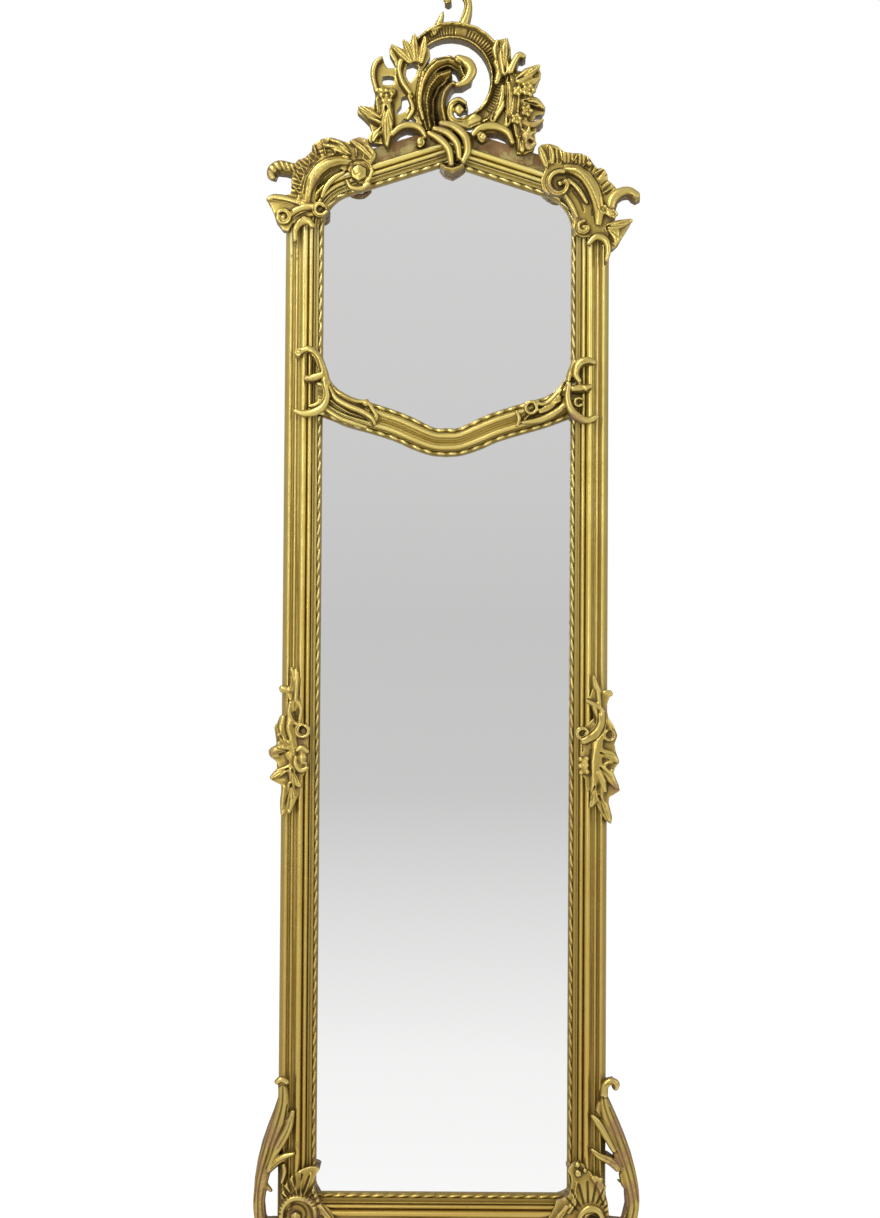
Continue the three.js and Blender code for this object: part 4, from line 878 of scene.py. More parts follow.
        # Painted shade: spots turned away from the front count as lower, so the gilding paints them darker.
        sheltered = 0.3 * (1 - np.clip(self.facing(), 0, 1))
        stands_out = np.clip(0.5 + (level - around) / self.relief_depth - sheltered, 0, 1)
        relief = mesh.attributes.new("relief", "FLOAT", "POINT")
        relief.data.foreach_set("value", stands_out.astype(np.float32))
        bpy.ops.object.shade_smooth()
        finished(self.piece, carving_gilt, "gilded_wood", "frame", self.node)


# The crest's ring: a C-scroll whose cove is cut with bars between two rims, and its volute. It is
# pierced right through and frames the plume.
ring = Carving("crest_ring")
ring_centre = (5, 1727)
ring.roll(
    [(44, 1666), (28, 1658), (11, 1660), (3, 1671), (4, 1687), (15, 1695), (26, 1689)],
    [20, 17, 13, 11, 10, 9, 7],
    46,
)
ring.knob((16, 1679), 9, 48)
ring.roll([(-24, 1796), (-15, 1812), (-10, 1828)], [10, 12, 5], 38)
ring.curl(ring_centre, [64, 66, 64, 62, 62], (138, -70), 4, 2.2)
ring.curl(ring_centre, [81, 85, 84, 82, 78], (138, -70), 4, 2.2)
ring.stroke(spiral(ring_centre, [73, 75, 74, 72, 70], 138, -70), 13, -1.6)
for start, end, count in ((133, 88, 15), (72, 30, 12), (20, -40, 18)):
    ring.bars(spiral(ring_centre, [67], start, end), spiral(ring_centre, [79], start, end), count, 3.3)
ring.stroke(spiral(ring_centre, [59, 60, 58, 57, 57], 128, -72), 3, 1.2)
ring.stroke(spiral(ring_centre, [88, 90, 88, 86, 82], 128, -60), 3, 1.2)
ring.curl((16, 1679), [19, 15, 11, 8], (-70, -400), 3.4)
ring.done()

# The plume: an outer roll with long veins, a barred cove and a smooth inner rib under a curled lip.
# The batten is screwed to its back.
plume = Carving("crest_plume")
plume.roll([(12, 1756), (28, 1749), (34, 1736), (26, 1721), (12, 1714)], [12, 17, 18, 14, 8], 55, 14)
plume.cut([(-36, 1652), (-46, 1690), (-42, 1722), (-28, 1748), (-4, 1760), (18, 1750), (25, 1733)], 3.6)
plume.cut([(-31, 1652), (-39, 1690), (-35, 1716), (-22, 1738), (-2, 1749), (14, 1742)])
plume.bars(
    [(-32, 1664), (-35, 1692), (-30, 1716), (-16, 1734)],
    [(-19, 1664), (-22, 1690), (-17, 1710), (-6, 1724)],
    16,
)
plume.cut([(-17, 1660), (-21, 1690), (-16, 1709), (-4, 1724), (8, 1730)], 3.4)
plume.stroke([(-4, 1660), (-10, 1684), (-5, 1706), (8, 1720)], 7, 1.6)
plume.cut([(4, 1662), (-1, 1684), (4, 1702), (14, 1712)], 2.6, 1.8)
plume.cut([(16, 1749), (26, 1738), (22, 1724), (10, 1720)], 3, 2.2)
plume.done()

# The clasp: three bands laid aslant over the apex of the rails, and the boss under them. It covers
# the mitre where the two raking rails meet.
clasp = Carving("crest_clasp")
clasp.roll([(-12, 1656), (8, 1652), (25, 1636), (29, 1614), (22, 1598)], [9, 13, 13, 12, 9], 57)
clasp.roll([(-22, 1648), (-2, 1642), (13, 1626), (17, 1604)], [9, 12, 12, 9], 57)
clasp.roll([(-30, 1642), (-12, 1632), (1, 1616), (5, 1594)], [8, 12, 12, 9], 56)
clasp.cut([(-14, 1652), (6, 1645), (20, 1627), (21, 1604)], 3.4)
clasp.cut([(-22, 1644), (-4, 1636), (8, 1619), (10, 1597)], 3.4)
clasp.cut([(-8, 1597), (4, 1591), (20, 1597)])
clasp.done()

# The left spray: leaves fanned over a bracket, a flower and a drop leaf. It stands on the pediment
# board beside the ring.
spray = Carving("crest_left_spray")
for line in (
    [(-58, 1750), (-72, 1764), (-86, 1775)],
    [(-54, 1752), (-62, 1772), (-68, 1783)],
    [(-48, 1752), (-52, 1776), (-52, 1792)],
    [(-42, 1750), (-38, 1772), (-36, 1788)],
):
    spray.roll(line, [9, 13, 5], 51)
spray.roll([(-108, 1706), (-114, 1730), (-111, 1748), (-101, 1758)], [7, 8, 9, 6], 46)
spray.roll([(-58, 1704), (-70, 1722), (-75, 1742), (-70, 1758)], [8, 9, 9, 9], 46)
spray.roll([(-60, 1700), (-54, 1680), (-62, 1664)], [7, 8, 7], 44)
spray.flower((-93, 1697), 8, 5.2, 54, 0.4)
spray.knob((-93, 1697), 4, 57)
spray.roll([(-94, 1684), (-92, 1656), (-92, 1622)], [16, 19, 6], 52)
spray.roll([(-100, 1660), (-118, 1672), (-134, 1681)], [12, 16, 6], 50)
spray.roll([(-100, 1650), (-110, 1640), (-113, 1630)], [9, 12, 6], 48)
spray.roll([(-85, 1640), (-72, 1652), (-57, 1655), (-43, 1650), (-34, 1637)], [8, 10, 11, 10, 8], 51)
spray.roll([(-38, 1664), (-44, 1690), (-42, 1716), (-38, 1738)], [6, 8, 8, 6], 44)
spray.knob((-42, 1629), 9, 51)
for line in (
    [(-58, 1750), (-84, 1774)],
    [(-54, 1752), (-67, 1782)],
    [(-48, 1750), (-52, 1791)],
    [(-42, 1750), (-36, 1786)],
):
    spray.cut(line, 2.8, 2.4)
spray.veins((-94, 1682), [(-86, 1640), (-98, 1640), (-103, 1656), (-82, 1656), (-92, 1626)])
spray.veins((-102, 1662), [(-130, 1682), (-132, 1677), (-124, 1668)])
spray.veins((-100, 1650), [(-113, 1632), (-107, 1632)])
spray.cut([(-82, 1634), (-71, 1645), (-57, 1648), (-46, 1643)])
spray.curl((-42, 1629), [9, 6, 3], (70, 420), 2.8)
spray.curl((-93, 1697), [5.5], (0, 340), 2.2, 1.8)
spray.bars([(-46, 1672), (-48, 1700), (-46, 1730)], [(-38, 1672), (-40, 1700), (-38, 1730)], 9, 2.6, 1.8)
spray.done()

# The right spray: broad leaves, flowers and hooked tips, pierced between them. It answers the left
# one but isn't its mirror image.
spray = Carving("crest_right_spray")
spray.roll([(84, 1734), (82, 1760), (87, 1786)], [13, 17, 6], 51)
spray.roll([(74, 1752), (70, 1770), (73, 1785)], [9, 12, 5], 46)
spray.roll([(92, 1736), (99, 1752), (106, 1762), (114, 1759)], [12, 10, 10, 8], 52)
spray.roll([(104, 1722), (120, 1734), (136, 1745)], [14, 18, 6], 53)
spray.roll([(112, 1716), (128, 1722), (137, 1727)], [9, 12, 5], 51)
spray.roll([(112, 1692), (130, 1692), (144, 1681)], [10, 14, 6], 50)
spray.roll([(110, 1662), (126, 1656), (142, 1664)], [9, 12, 6], 49)
spray.roll([(112, 1634), (122, 1622), (131, 1628)], [10, 12, 6], 52)
spray.roll([(106, 1638), (110, 1624), (112, 1616)], [10, 12, 8], 49)
spray.roll([(66, 1662), (78, 1686), (82, 1716)], [10, 15, 7], 47)
spray.roll([(88, 1656), (94, 1686), (90, 1720)], [11, 15, 8], 49)
spray.roll([(72, 1720), (76, 1738), (70, 1752)], [9, 12, 8], 46)
for centre, reach, size in (
    ((121, 1707), 7, 4.8),
    ((118, 1676), 6.5, 4.2),
    ((102, 1664), 6, 4),
    ((104, 1706), 5.5, 4),
):
    spray.flower(centre, reach, size, 55)
    spray.knob(centre, 0.7 * size, 57)
star = (119, 1640)
for ray in range(6):
    end = about(star, 13, 1.05 * ray + 0.3)
    spray.roll([star, ((star[0] + end[0]) / 2, (star[1] + end[1]) / 2), end], [5, 7, 3], 55)
spray.knob(star, 4, 57)
spray.roll([(36, 1640), (48, 1651), (68, 1654), (88, 1646), (97, 1628)], [8, 11, 12, 11, 8], 51)
spray.knob((51, 1637), 9, 51)
spray.veins((85, 1736), [(79, 1774), (85, 1784), (91, 1774)])
spray.cut([(73, 1754), (73, 1782)], 2.6, 2)
spray.veins((104, 1724), [(128, 1744), (134, 1744), (134, 1738)])
spray.veins((114, 1692), [(142, 1684), (132, 1694), (136, 1684)])
spray.veins((66, 1664), [(80, 1712), (86, 1700), (74, 1704)])
spray.veins((90, 1660), [(90, 1716), (98, 1704), (84, 1704)])
spray.veins((110, 1638), [(110, 1618), (106, 1620), (116, 1618)])
spray.cut([(40, 1632), (52, 1644), (68, 1647), (84, 1640)])
spray.curl((51, 1637), [9, 6, 3], (110, -240), 2.8)
spray.bars([(62, 1668), (68, 1696), (70, 1724)], [(70, 1664), (76, 1692), (78, 1720)], 9, 2.6, 1.6)
spray.done()

# The finial: a stem that ends in a hooked curl, glued on top of the ring. Its slender stem is rounded
# over less than the broad carvings.
finial = Carving("crest_finial", rounding=2)
finial.roll(
    [(22, 1812), (27, 1828), (29, 1843), (23, 1857), (10, 1864), (-1, 1858)],
    [15, 13, 12, 12, 11, 9],
    40,
)
finial.knob((-3, 1849), 7, 40)
finial.cut([(18, 1816), (24, 1828), (26, 1843), (20, 1854), (9, 1860)])
finial.curl((-3, 1849), [6, 3], (60, 400), 2.4, 1.8)
finial.done()

# The left corner: a crescent under a fringe, a boss in leaves, a barred horn, a volute and a rosette,
# carved in one piece that is glued over the bent corner of the moulding.
corner = Carving("corner_cartouche_left")
corner.roll(
    [(-227, 1588), (-240, 1591), (-254, 1593), (-264, 1587), (-266, 1578), (-262, 1573)],
    [15, 16, 17, 16, 13, 9],
    47,
    14,
)
corner.roll([(-222, 1534), (-244, 1541), (-262, 1543), (-271, 1540)], [9, 13, 12, 6], 51)
corner.roll([(-229, 1478), (-229, 1493), (-222, 1505), (-210, 1508), (-203, 1500)], [7, 9, 12, 13, 10], 53)
corner.roll(spiral((-247, 1513), [11, 9, 5], 150, -200), [6, 8, 7], 53)
corner.knob((-247, 1512), 4, 54)
corner.roll([(-199, 1530), (-216, 1529), (-232, 1522)], [9, 12, 9], 54)
corner.roll(spiral((-191, 1526), [10, 9, 6], -20, -330), [6, 8, 6], 56)
corner.roll([(-190, 1544), (-184, 1560), (-172, 1574), (-156, 1583)], [5, 9, 9, 6], 47)
corner.roll([(-151, 1604), (-168, 1618), (-188, 1623)], [8, 10, 5], 53)
corner.roll([(-148, 1608), (-162, 1625), (-178, 1631)], [7, 9, 4], 52)
corner.roll([(-116, 1604), (-130, 1618), (-145, 1630)], [8, 12, 6], 52)
corner.roll([(-118, 1596), (-112, 1610), (-122, 1624)], [7, 10, 6], 49)
corner.roll([(-152, 1570), (-146, 1560), (-130, 1558), (-118, 1566)], [7, 9, 9, 6], 50)
corner.roll([(-224, 1534), (-222, 1550), (-212, 1546)], [7, 9, 7], 50)
corner.stroke([(-208, 1545), (-203, 1568), (-188, 1588), (-167, 1599), (-146, 1599)], [4, 9, 10, 8, 4], 2.0)
corner.cut([(-216, 1548), (-211, 1574), (-195, 1596), (-170, 1607), (-146, 1607)], 3.4, 3)
corner.cut([(-199, 1545), (-194, 1564), (-180, 1581), (-162, 1590)])
corner.stroke([(-223, 1558), (-212, 1588), (-196, 1604)], 3, 2)
corner.bars(
    [(-222, 1548), (-220, 1572), (-208, 1592), (-192, 1605)],
    [(-236, 1552), (-236, 1580), (-222, 1604), (-200, 1624)],
    14,
    3.4,
)
for line in (
    [(-148, 1606), (-166, 1611), (-186, 1612), (-204, 1606)],
    [(-148, 1608), (-166, 1616), (-186, 1618), (-200, 1614)],
    [(-146, 1611), (-162, 1623), (-180, 1627)],
    [(-117, 1606), (-130, 1620), (-144, 1629)],
    [(-120, 1604), (-136, 1617), (-148, 1624)],
):
    corner.cut(line, 2.8, 2.2)
corner.curl((-134, 1582), [19, 18], (20, 300), 3.4)
corner.curl((-136, 1584), [11, 8, 5], (30, 300), 2.8, 1.8)
corner.bars([(-228, 1582), (-246, 1586), (-258, 1578)], [(-232, 1598), (-252, 1602), (-272, 1588)], 6, 3.4)
corner.cut([(-222, 1530), (-240, 1536), (-262, 1540)])
corner.curl((-247, 1513), [13, 10, 6, 3], (150, -260), 3.0)
corner.cut([(-202, 1523), (-218, 1522), (-233, 1514)], 3)
corner.curl((-191, 1526), [13, 11, 7, 3], (-30, -420))
corner.cut([(-222, 1478), (-222, 1490), (-217, 1499), (-209, 1500)], 3, 2.2)
corner.done()

# The right corner: a crescent ending in a volute, leaf fringe, flowers and a long-necked horn. It
# sits as the left one does, but each is carved to its own design.
corner = Carving("corner_cartouche_right")
corner.roll(spiral((168, 1566), [19, 17, 14, 9], 70, 400), [8, 9, 8, 6], 57, 13)
corner.knob((168, 1566), 5, 56)
corner.roll([(243, 1528), (248, 1545), (258, 1555), (272, 1558), (285, 1550)], [12, 15, 14, 13, 13], 48, 13)
corner.roll([(240, 1502), (258, 1506), (276, 1512)], [12, 15, 6], 52)
corner.roll([(238, 1500), (252, 1488), (251, 1474)], [10, 13, 6], 51)
corner.roll([(211, 1476), (223, 1487), (237, 1482), (241, 1467), (238, 1450)], [8, 11, 11, 10, 6], 53)
corner.roll(spiral((204, 1501), [9, 8, 5], 80, 380), [6, 7, 6], 56)
corner.roll([(180, 1573), (196, 1558), (209, 1537)], [6, 9, 6], 54)
corner.roll([(175, 1552), (186, 1535), (195, 1516)], [6, 9, 6], 50)
for centre in ((234, 1528), (248, 1521)):
    corner.flower(centre, 5, 3.4, 54)
corner.knob((212, 1597), 5.5, 54)
corner.roll([(148, 1594), (142, 1610), (138, 1622)], [9, 13, 6], 51)
corner.roll([(156, 1598), (156, 1612), (152, 1624)], [8, 11, 5], 51)
corner.stroke([(174, 1589), (196, 1585), (212, 1570), (222, 1550), (227, 1528)], [5, 10, 11, 9, 4], 2.0)
corner.cut([(172, 1598), (198, 1595), (218, 1578), (230, 1556), (235, 1534)], 3.4, 3)
corner.cut([(178, 1580), (194, 1575), (206, 1560), (216, 1536), (218, 1520)])
corner.curl((168, 1566), [23, 20, 15, 10, 6], (90, 440), 3.6, 3)
corner.cut([(188, 1556), (198, 1542), (204, 1526)])
corner.bars(
    [(162, 1600), (184, 1600), (206, 1594), (224, 1578), (238, 1552)],
    [(160, 1620), (184, 1616), (208, 1610), (236, 1590), (252, 1564)],
    17,
    3.6,
)
corner.cut([(148, 1596), (139, 1620)], 2.8, 2.2)
corner.cut([(156, 1598), (153, 1622)], 2.8, 2.2)
corner.curl((234, 1528), [3.4], (0, 340), 2.2, 1.8)
corner.curl((248, 1521), [3.4], (0, 340), 2.2, 1.8)
corner.cut([(250, 1524), (255, 1541), (265, 1550), (277, 1550)], 3, 2.2)
corner.veins((238, 1502), [(274, 1511), (264, 1504), (262, 1514)])
corner.veins((238, 1500), [(250, 1476), (256, 1486), (245, 1484)])
corner.curl((204, 1501), [12, 10, 6, 3], (100, 500))
corner.cut([(214, 1472), (224, 1480), (233, 1475), (235, 1462)], 3, 2.2)
corner.done()

# The clasps: C-scrolls round the stile and a leaf that runs down along the cross rail. They are
# glued over the joints between the cross rail and the stiles.
clasp = Carving("cross_clasp_left", rounding=2)
clasp.roll(
    [(-221, 1311), (-207, 1315), (-195, 1306), (-188, 1291), (-183, 1274), (-177, 1262)],
    [9, 11, 12, 13, 13, 9],
    53,
)
clasp.knob((-222, 1309), 7, 54)
clasp.roll([(-212, 1270), (-199, 1272), (-185, 1277)], [8, 13, 12], 54)
clasp.roll(
    [(-184, 1268), (-180, 1248), (-184, 1230), (-198, 1220), (-214, 1218), (-227, 1222)],
    [9, 12, 13, 13, 11, 8],
    54,
)
clasp.roll([(-190, 1240), (-194, 1232), (-206, 1229)], [7, 9, 6], 50)
clasp.roll(
    [(-177, 1262), (-167, 1243), (-148, 1231), (-127, 1222), (-112, 1212), (-107, 1202)],
    [8, 11, 11, 10, 8, 5],
    50,
)
clasp.roll([(-181, 1225), (-160, 1212), (-138, 1204), (-119, 1198)], [7, 9, 8, 5], 49)
clasp.roll([(-166, 1251), (-150, 1242), (-134, 1237), (-120, 1237)], [6, 8, 8, 5], 49)
clasp.roll([(-120, 1240), (-112, 1227), (-105, 1214), (-108, 1202)], [5, 7, 7, 5], 46)
clasp.cut([(-212, 1307), (-202, 1308), (-194, 1298), (-189, 1280)], 3)
clasp.curl((-222, 1309), [5, 2.5], (0, 330), 2.4, 2)
clasp.cut([(-212, 1262), (-198, 1263), (-186, 1265)], 3.4, 3)
clasp.cut([(-186, 1262), (-182, 1247), (-187, 1234), (-200, 1226), (-216, 1225)], 2.8)
clasp.cut([(-174, 1262), (-163, 1245), (-144, 1234), (-124, 1226)], 2.8)
clasp.cut([(-176, 1254), (-168, 1236), (-148, 1224), (-126, 1214), (-116, 1206)], 3)
clasp.cut([(-176, 1228), (-156, 1215), (-136, 1208), (-120, 1203)], 3, 3)
clasp.done()

clasp = Carving("cross_clasp_right", rounding=2)
clasp.roll([(222, 1297), (208, 1301), (197, 1293), (193, 1280), (199, 1268)], [8, 11, 12, 11, 8], 53)
clasp.roll([(186, 1257), (200, 1259), (216, 1261)], [9, 12, 8], 54)
clasp.knob((208, 1258), 5.5, 56)
clasp.roll(
    [(183, 1266), (181, 1244), (186, 1227), (198, 1215), (212, 1210), (226, 1216)],
    [8, 11, 12, 12, 11, 8],
    54,
)
clasp.roll([(193, 1301), (187, 1287), (183, 1270)], [8, 9, 9], 47)
clasp.roll(spiral((198, 1237), [7, 5], 40, 330), [5, 6], 51)
clasp.roll([(114, 1206), (140, 1211), (158, 1219), (173, 1230), (180, 1242)], [6, 10, 11, 10, 7], 50)
clasp.roll([(136, 1236), (148, 1234), (160, 1243), (172, 1257)], [5, 8, 9, 7], 49)
clasp.roll([(140, 1222), (156, 1230), (170, 1246)], [6, 9, 8], 48)
clasp.roll(spiral((127, 1229), [9, 8], 60, 400), [6, 6], 50)
clasp.roll([(105, 1224), (109, 1213), (106, 1202)], [5, 8, 5], 47)
clasp.cut([(220, 1291), (209, 1294), (201, 1288), (199, 1278)], 3)
clasp.cut([(188, 1250), (200, 1250), (214, 1252)], 3.4, 3)
clasp.cut([(186, 1258), (186, 1244), (191, 1231), (202, 1221), (214, 1217)], 2.8)
clasp.cut([(118, 1201), (142, 1205), (162, 1213), (177, 1224)], 3, 3)
clasp.cut([(130, 1216), (150, 1221), (168, 1234), (176, 1246)], 3, 3)
clasp.cut([(138, 1229), (154, 1236), (168, 1250)], 2.8)
clasp.curl((127, 1229), [9, 6, 4], (120, 420), 2.6)
clasp.done()

# The mounts half way up: an upright leaf over a blossom, with side leaves out past the frame's edge.
# They are glued to the stiles, and are eased more than the others, to soften the tips of the leaves.
mount = Carving("stile_mount_left", rounding=6)
mount.roll([(-229, 838), (-226, 820), (-230, 802)], [5, 9, 8], 49)
mount.roll([(-245, 807), (-238, 806), (-232, 804)], [8, 11, 10], 48)
mount.roll([(-229, 787), (-232, 773), (-228, 759), (-217, 752)], [7, 9, 10, 8], 51)
mount.roll([(-219, 788), (-214, 775), (-216, 759)], [6, 8, 7], 51)
mount.roll(spiral((-211, 744), [10, 8], 100, 430), [7, 7], 54)
mount.roll([(-240, 764), (-243, 744), (-236, 724), (-228, 702)], [12, 17, 18, 14], 51)
mount.roll([(-229, 760), (-231, 744), (-226, 728)], [8, 12, 10], 52)
for spot in ((-246, 738), (-239, 730), (-246, 725), (-232, 727), (-240, 719)):
    mount.knob(spot, 4.6, 54)
mount.roll([(-230, 718), (-246, 717), (-257, 710)], [11, 15, 7], 52)
mount.roll([(-246, 706), (-255, 706), (-258, 713), (-251, 719)], [6, 8, 8, 6], 50)
mount.roll([(-230, 690), (-246, 681), (-258, 673)], [10, 14, 6], 52)
mount.roll([(-236, 670), (-246, 670), (-257, 675)], [6, 9, 6], 48)
mount.roll([(-236, 702), (-244, 696), (-246, 688)], [8, 10, 8], 46)
mount.roll([(-220, 714), (-212, 719), (-203, 712)], [7, 9, 7], 56)
mount.roll([(-221, 706), (-221, 694), (-213, 685), (-203, 689)], [7, 9, 10, 7], 56)
mount.roll([(-214, 706), (-212, 698), (-205, 695)], [6, 7, 6], 56)
mount.roll([(-228, 688), (-224, 672), (-214, 661)], [10, 14, 8], 53)
mount.roll([(-230, 666), (-226, 646), (-231, 622)], [11, 16, 7], 51)
mount.roll([(-238, 660), (-240, 640), (-241, 618)], [7, 9, 5], 48)
mount.cut([(-223, 786), (-223, 772), (-220, 759)], 3.2)
mount.cut([(-230, 832), (-227, 816), (-230, 800)], 2.8, 2)
mount.curl((-211, 744), [10, 6, 3], (100, 520), 2.8)
mount.cut([(-247, 766), (-248, 748), (-240, 728)], 3)
mount.cut([(-236, 766), (-237, 746), (-232, 730)], 3)
mount.veins((-232, 714), [(-254, 711), (-252, 718), (-250, 704)], 2.8, 2.2)
mount.veins((-232, 688), [(-256, 674), (-252, 682), (-248, 674)], 2.8, 2.2)
mount.veins((-226, 686), [(-216, 664), (-222, 664), (-228, 668)], 2.8, 2.2)
mount.veins((-228, 664), [(-231, 626), (-224, 640), (-236, 634), (-220, 646)], 3)
mount.done()

mount = Carving("stile_mount_right", rounding=6)
mount.roll([(222, 828), (225, 814), (231, 803)], [6, 10, 8], 51)
mount.roll([(238, 804), (249, 801)], [9, 8], 48)
mount.roll([(212, 791), (224, 785), (235, 778)], [7, 9, 7], 52)
mount.roll([(222, 781), (228, 770), (232, 760)], [6, 8, 6], 52)
mount.roll([(236, 776), (233, 756), (223, 740), (206, 730)], [11, 18, 18, 12], 52)
mount.roll(spiral((205, 742), [8, 6], 60, 380), [6, 6], 53)
mount.roll(spiral((246, 740), [8, 7], 110, 420), [5, 6], 52)
mount.roll([(231, 716), (247, 710), (258, 701)], [12, 16, 7], 52)
mount.roll(spiral((246, 692), [8, 6], 60, 330), [6, 7], 50)
mount.knob((251, 722), 5, 46)
mount.roll([(232, 694), (246, 678), (258, 662)], [12, 17, 7], 52)
mount.roll([(228, 686), (236, 670), (240, 656)], [9, 12, 6], 53)
for spot in ((203, 704), (212, 705), (203, 694), (212, 695), (204, 684), (213, 685)):
    mount.knob(spot, 4.6, 55)
mount.roll([(226, 720), (224, 700), (224, 680), (222, 660)], [12, 15, 15, 10], 52)
mount.roll([(222, 664), (224, 646), (218, 634)], [10, 14, 7], 51)
mount.roll([(228, 650), (240, 634), (247, 613)], [9, 13, 8], 50)
mount.cut([(223, 824), (226, 812)], 2.6, 1.8)
mount.cut([(214, 784), (221, 773), (225, 758)], 3)
mount.cut([(229, 776), (227, 756), (216, 742), (204, 735)], 3)
mount.cut([(240, 774), (239, 754), (229, 736), (212, 726)], 3)
mount.curl((205, 742), [8, 5], (60, 420), 2.6, 2)
mount.curl((246, 740), [8, 5], (110, 440), 2.6, 2)
mount.veins((232, 714), [(255, 702), (252, 710), (246, 702)], 2.8, 2.2)
mount.veins((232, 692), [(256, 664), (250, 676), (246, 664)], 2.8, 2.2)
mount.veins((224, 664), [(219, 636), (226, 642), (215, 642)], 2.8, 2.2)
mount.veins((230, 650), [(246, 616), (242, 630), (238, 622)], 2.8, 2.2)
mount.cut([(218, 718), (217, 700), (218, 680)], 3, 2.4)
mount.done()

# The shells: ribs fanned over a volute, glued over the mitres of the bottom corners, with a leaf
# that runs in along the sill.
shell = Carving("foot_shell_left")
shell.roll(
    [(-237, 22), (-235, 40), (-222, 53), (-204, 53), (-190, 44), (-186, 28)],
    [8, 10, 11, 10, 9, 7],
    57,
)
shell.knob((-215, 23), 9, 57)
shell.roll([(-190, 62), (-183, 48), (-178, 30)], [6, 8, 8], 50)
shell.roll([(-182, 44), (-170, 28), (-158, 12)], [8, 11, 7], 52)
shell.bars(spiral((-213, 34), [25], 20, 185), spiral((-213, 36), [52], 20, 185), 14, 4.2, 3.4)
shell.curl((-213, 28), [18, 15, 11], (190, -60))
shell.cut([(-184, 60), (-176, 44), (-166, 30)], 2.8, 2.2)
shell.cut([(-178, 38), (-168, 26), (-158, 14)], 2.8, 2.2)
shell.done()

shell = Carving("foot_shell_right")
shell.roll([(203, 14), (206, 32), (218, 42), (232, 38), (240, 24)], [9, 11, 12, 11, 8], 57)
shell.knob((224, 22), 7, 57)
for spot in ((201, 106), (201, 95), (212, 97), (236, 84), (240, 72)):
    shell.knob(spot, 4.6, 53)
shell.roll([(228, 88), (236, 78), (240, 62)], [6, 8, 7], 52)
shell.roll([(198, 62), (196, 48), (188, 34)], [9, 12, 8], 50)
shell.roll([(186, 44), (174, 28), (160, 12)], [9, 12, 7], 51)
shell.bars(spiral((222, 26), [24], 5, 150), spiral((224, 34), [46], 0, 150), 10, 4, 3.2)
shell.curl((222, 22), [15, 12], (180, 0))
shell.cut([(182, 36), (172, 24), (162, 14)], 2.8, 2.2)
shell.cut([(198, 62), (194, 46), (186, 36)], 2.8, 2.2)
shell.done()

# The ears: pierced scrolls that stand out beside the foot, veined along their length. They are glued
# to the outer edges of the stiles.
ear = Carving("ear_left", rounding=2)
ear.roll(
    [(-237, 222), (-235, 200), (-239, 172), (-247, 146), (-257, 116), (-266, 80), (-270, 44), (-268, 14)],
    [14, 17, 23, 26, 24, 20, 18, 16],
    50,
    14,
)
ear.roll([(-246, 223), (-238, 228), (-229, 223)], [8, 10, 8], 54)
ear.roll([(-221, 181), (-227, 158), (-238, 136), (-251, 114), (-258, 92)], [7, 13, 15, 13, 9], 53)
ear.roll([(-219, 119), (-233, 114), (-247, 105), (-258, 92)], [6, 11, 12, 9], 52)
ear.roll([(-235, 102), (-233, 90), (-237, 74)], [7, 9, 6], 45)
ear.roll([(-267, 76), (-258, 68), (-252, 62)], [7, 8, 5], 46)
ear.cut([(-236, 216), (-237, 190), (-245, 158), (-258, 118), (-270, 70), (-271, 24)], 3.4, 2.6)
ear.cut([(-243, 206), (-250, 172), (-262, 130), (-272, 88), (-277, 48)], 3, 2.4)
ear.cut([(-229, 190), (-234, 162), (-247, 132), (-260, 96)], 3.2, 2.6)
ear.cut([(-222, 174), (-230, 150), (-243, 126)], 2.6, 2)
ear.cut([(-224, 113), (-240, 107), (-252, 96)], 2.6, 2)
ear.cut([(-262, 66), (-265, 46), (-263, 26)], 2.8, 2.2)
ear.cut([(-245, 216), (-237, 219), (-229, 216)], 2.6, 2)
ear.done()

ear = Carving("ear_right", rounding=2)
ear.roll([(240, 206), (241, 221), (250, 228), (258, 224), (257, 216)], [12, 12, 12, 11, 7], 53)
ear.roll(
    [(240, 200), (246, 176), (256, 150), (267, 120), (278, 88), (284, 52), (281, 16)],
    [14, 22, 26, 26, 22, 19, 16],
    50,
    14,
)
ear.roll([(222, 178), (232, 166), (244, 148), (256, 126)], [6, 12, 14, 10], 53)
ear.roll([(222, 128), (233, 118), (248, 111), (262, 98)], [6, 11, 13, 10], 52)
ear.roll([(266, 92), (270, 76), (278, 66)], [8, 9, 6], 46)
ear.roll([(233, 196), (231, 182), (236, 166)], [6, 8, 6], 46)
ear.cut([(238, 206), (243, 184), (256, 150), (268, 116), (278, 84), (285, 48), (281, 22)], 3.4, 2.6)
ear.cut([(248, 190), (260, 160), (274, 124), (285, 86), (291, 52)], 3, 2.4)
ear.cut([(228, 182), (242, 160), (256, 132), (268, 102)], 3, 2.4)
ear.cut([(224, 124), (242, 115), (258, 106)], 2.6, 2)
ear.cut([(273, 70), (277, 48), (272, 26)], 2.8, 2.2)
ear.curl((249, 218), [8, 5], (150, -60), 2.6, 2)
ear.done()

# ---- Hangers, D-rings and screws ----
# A strap of bent steel on each stile's back holds a D-ring of round rod that swings in its loop. The
# straps and the batten are held by slotted pan-head screws. All of it is dulled, with rust in spots.

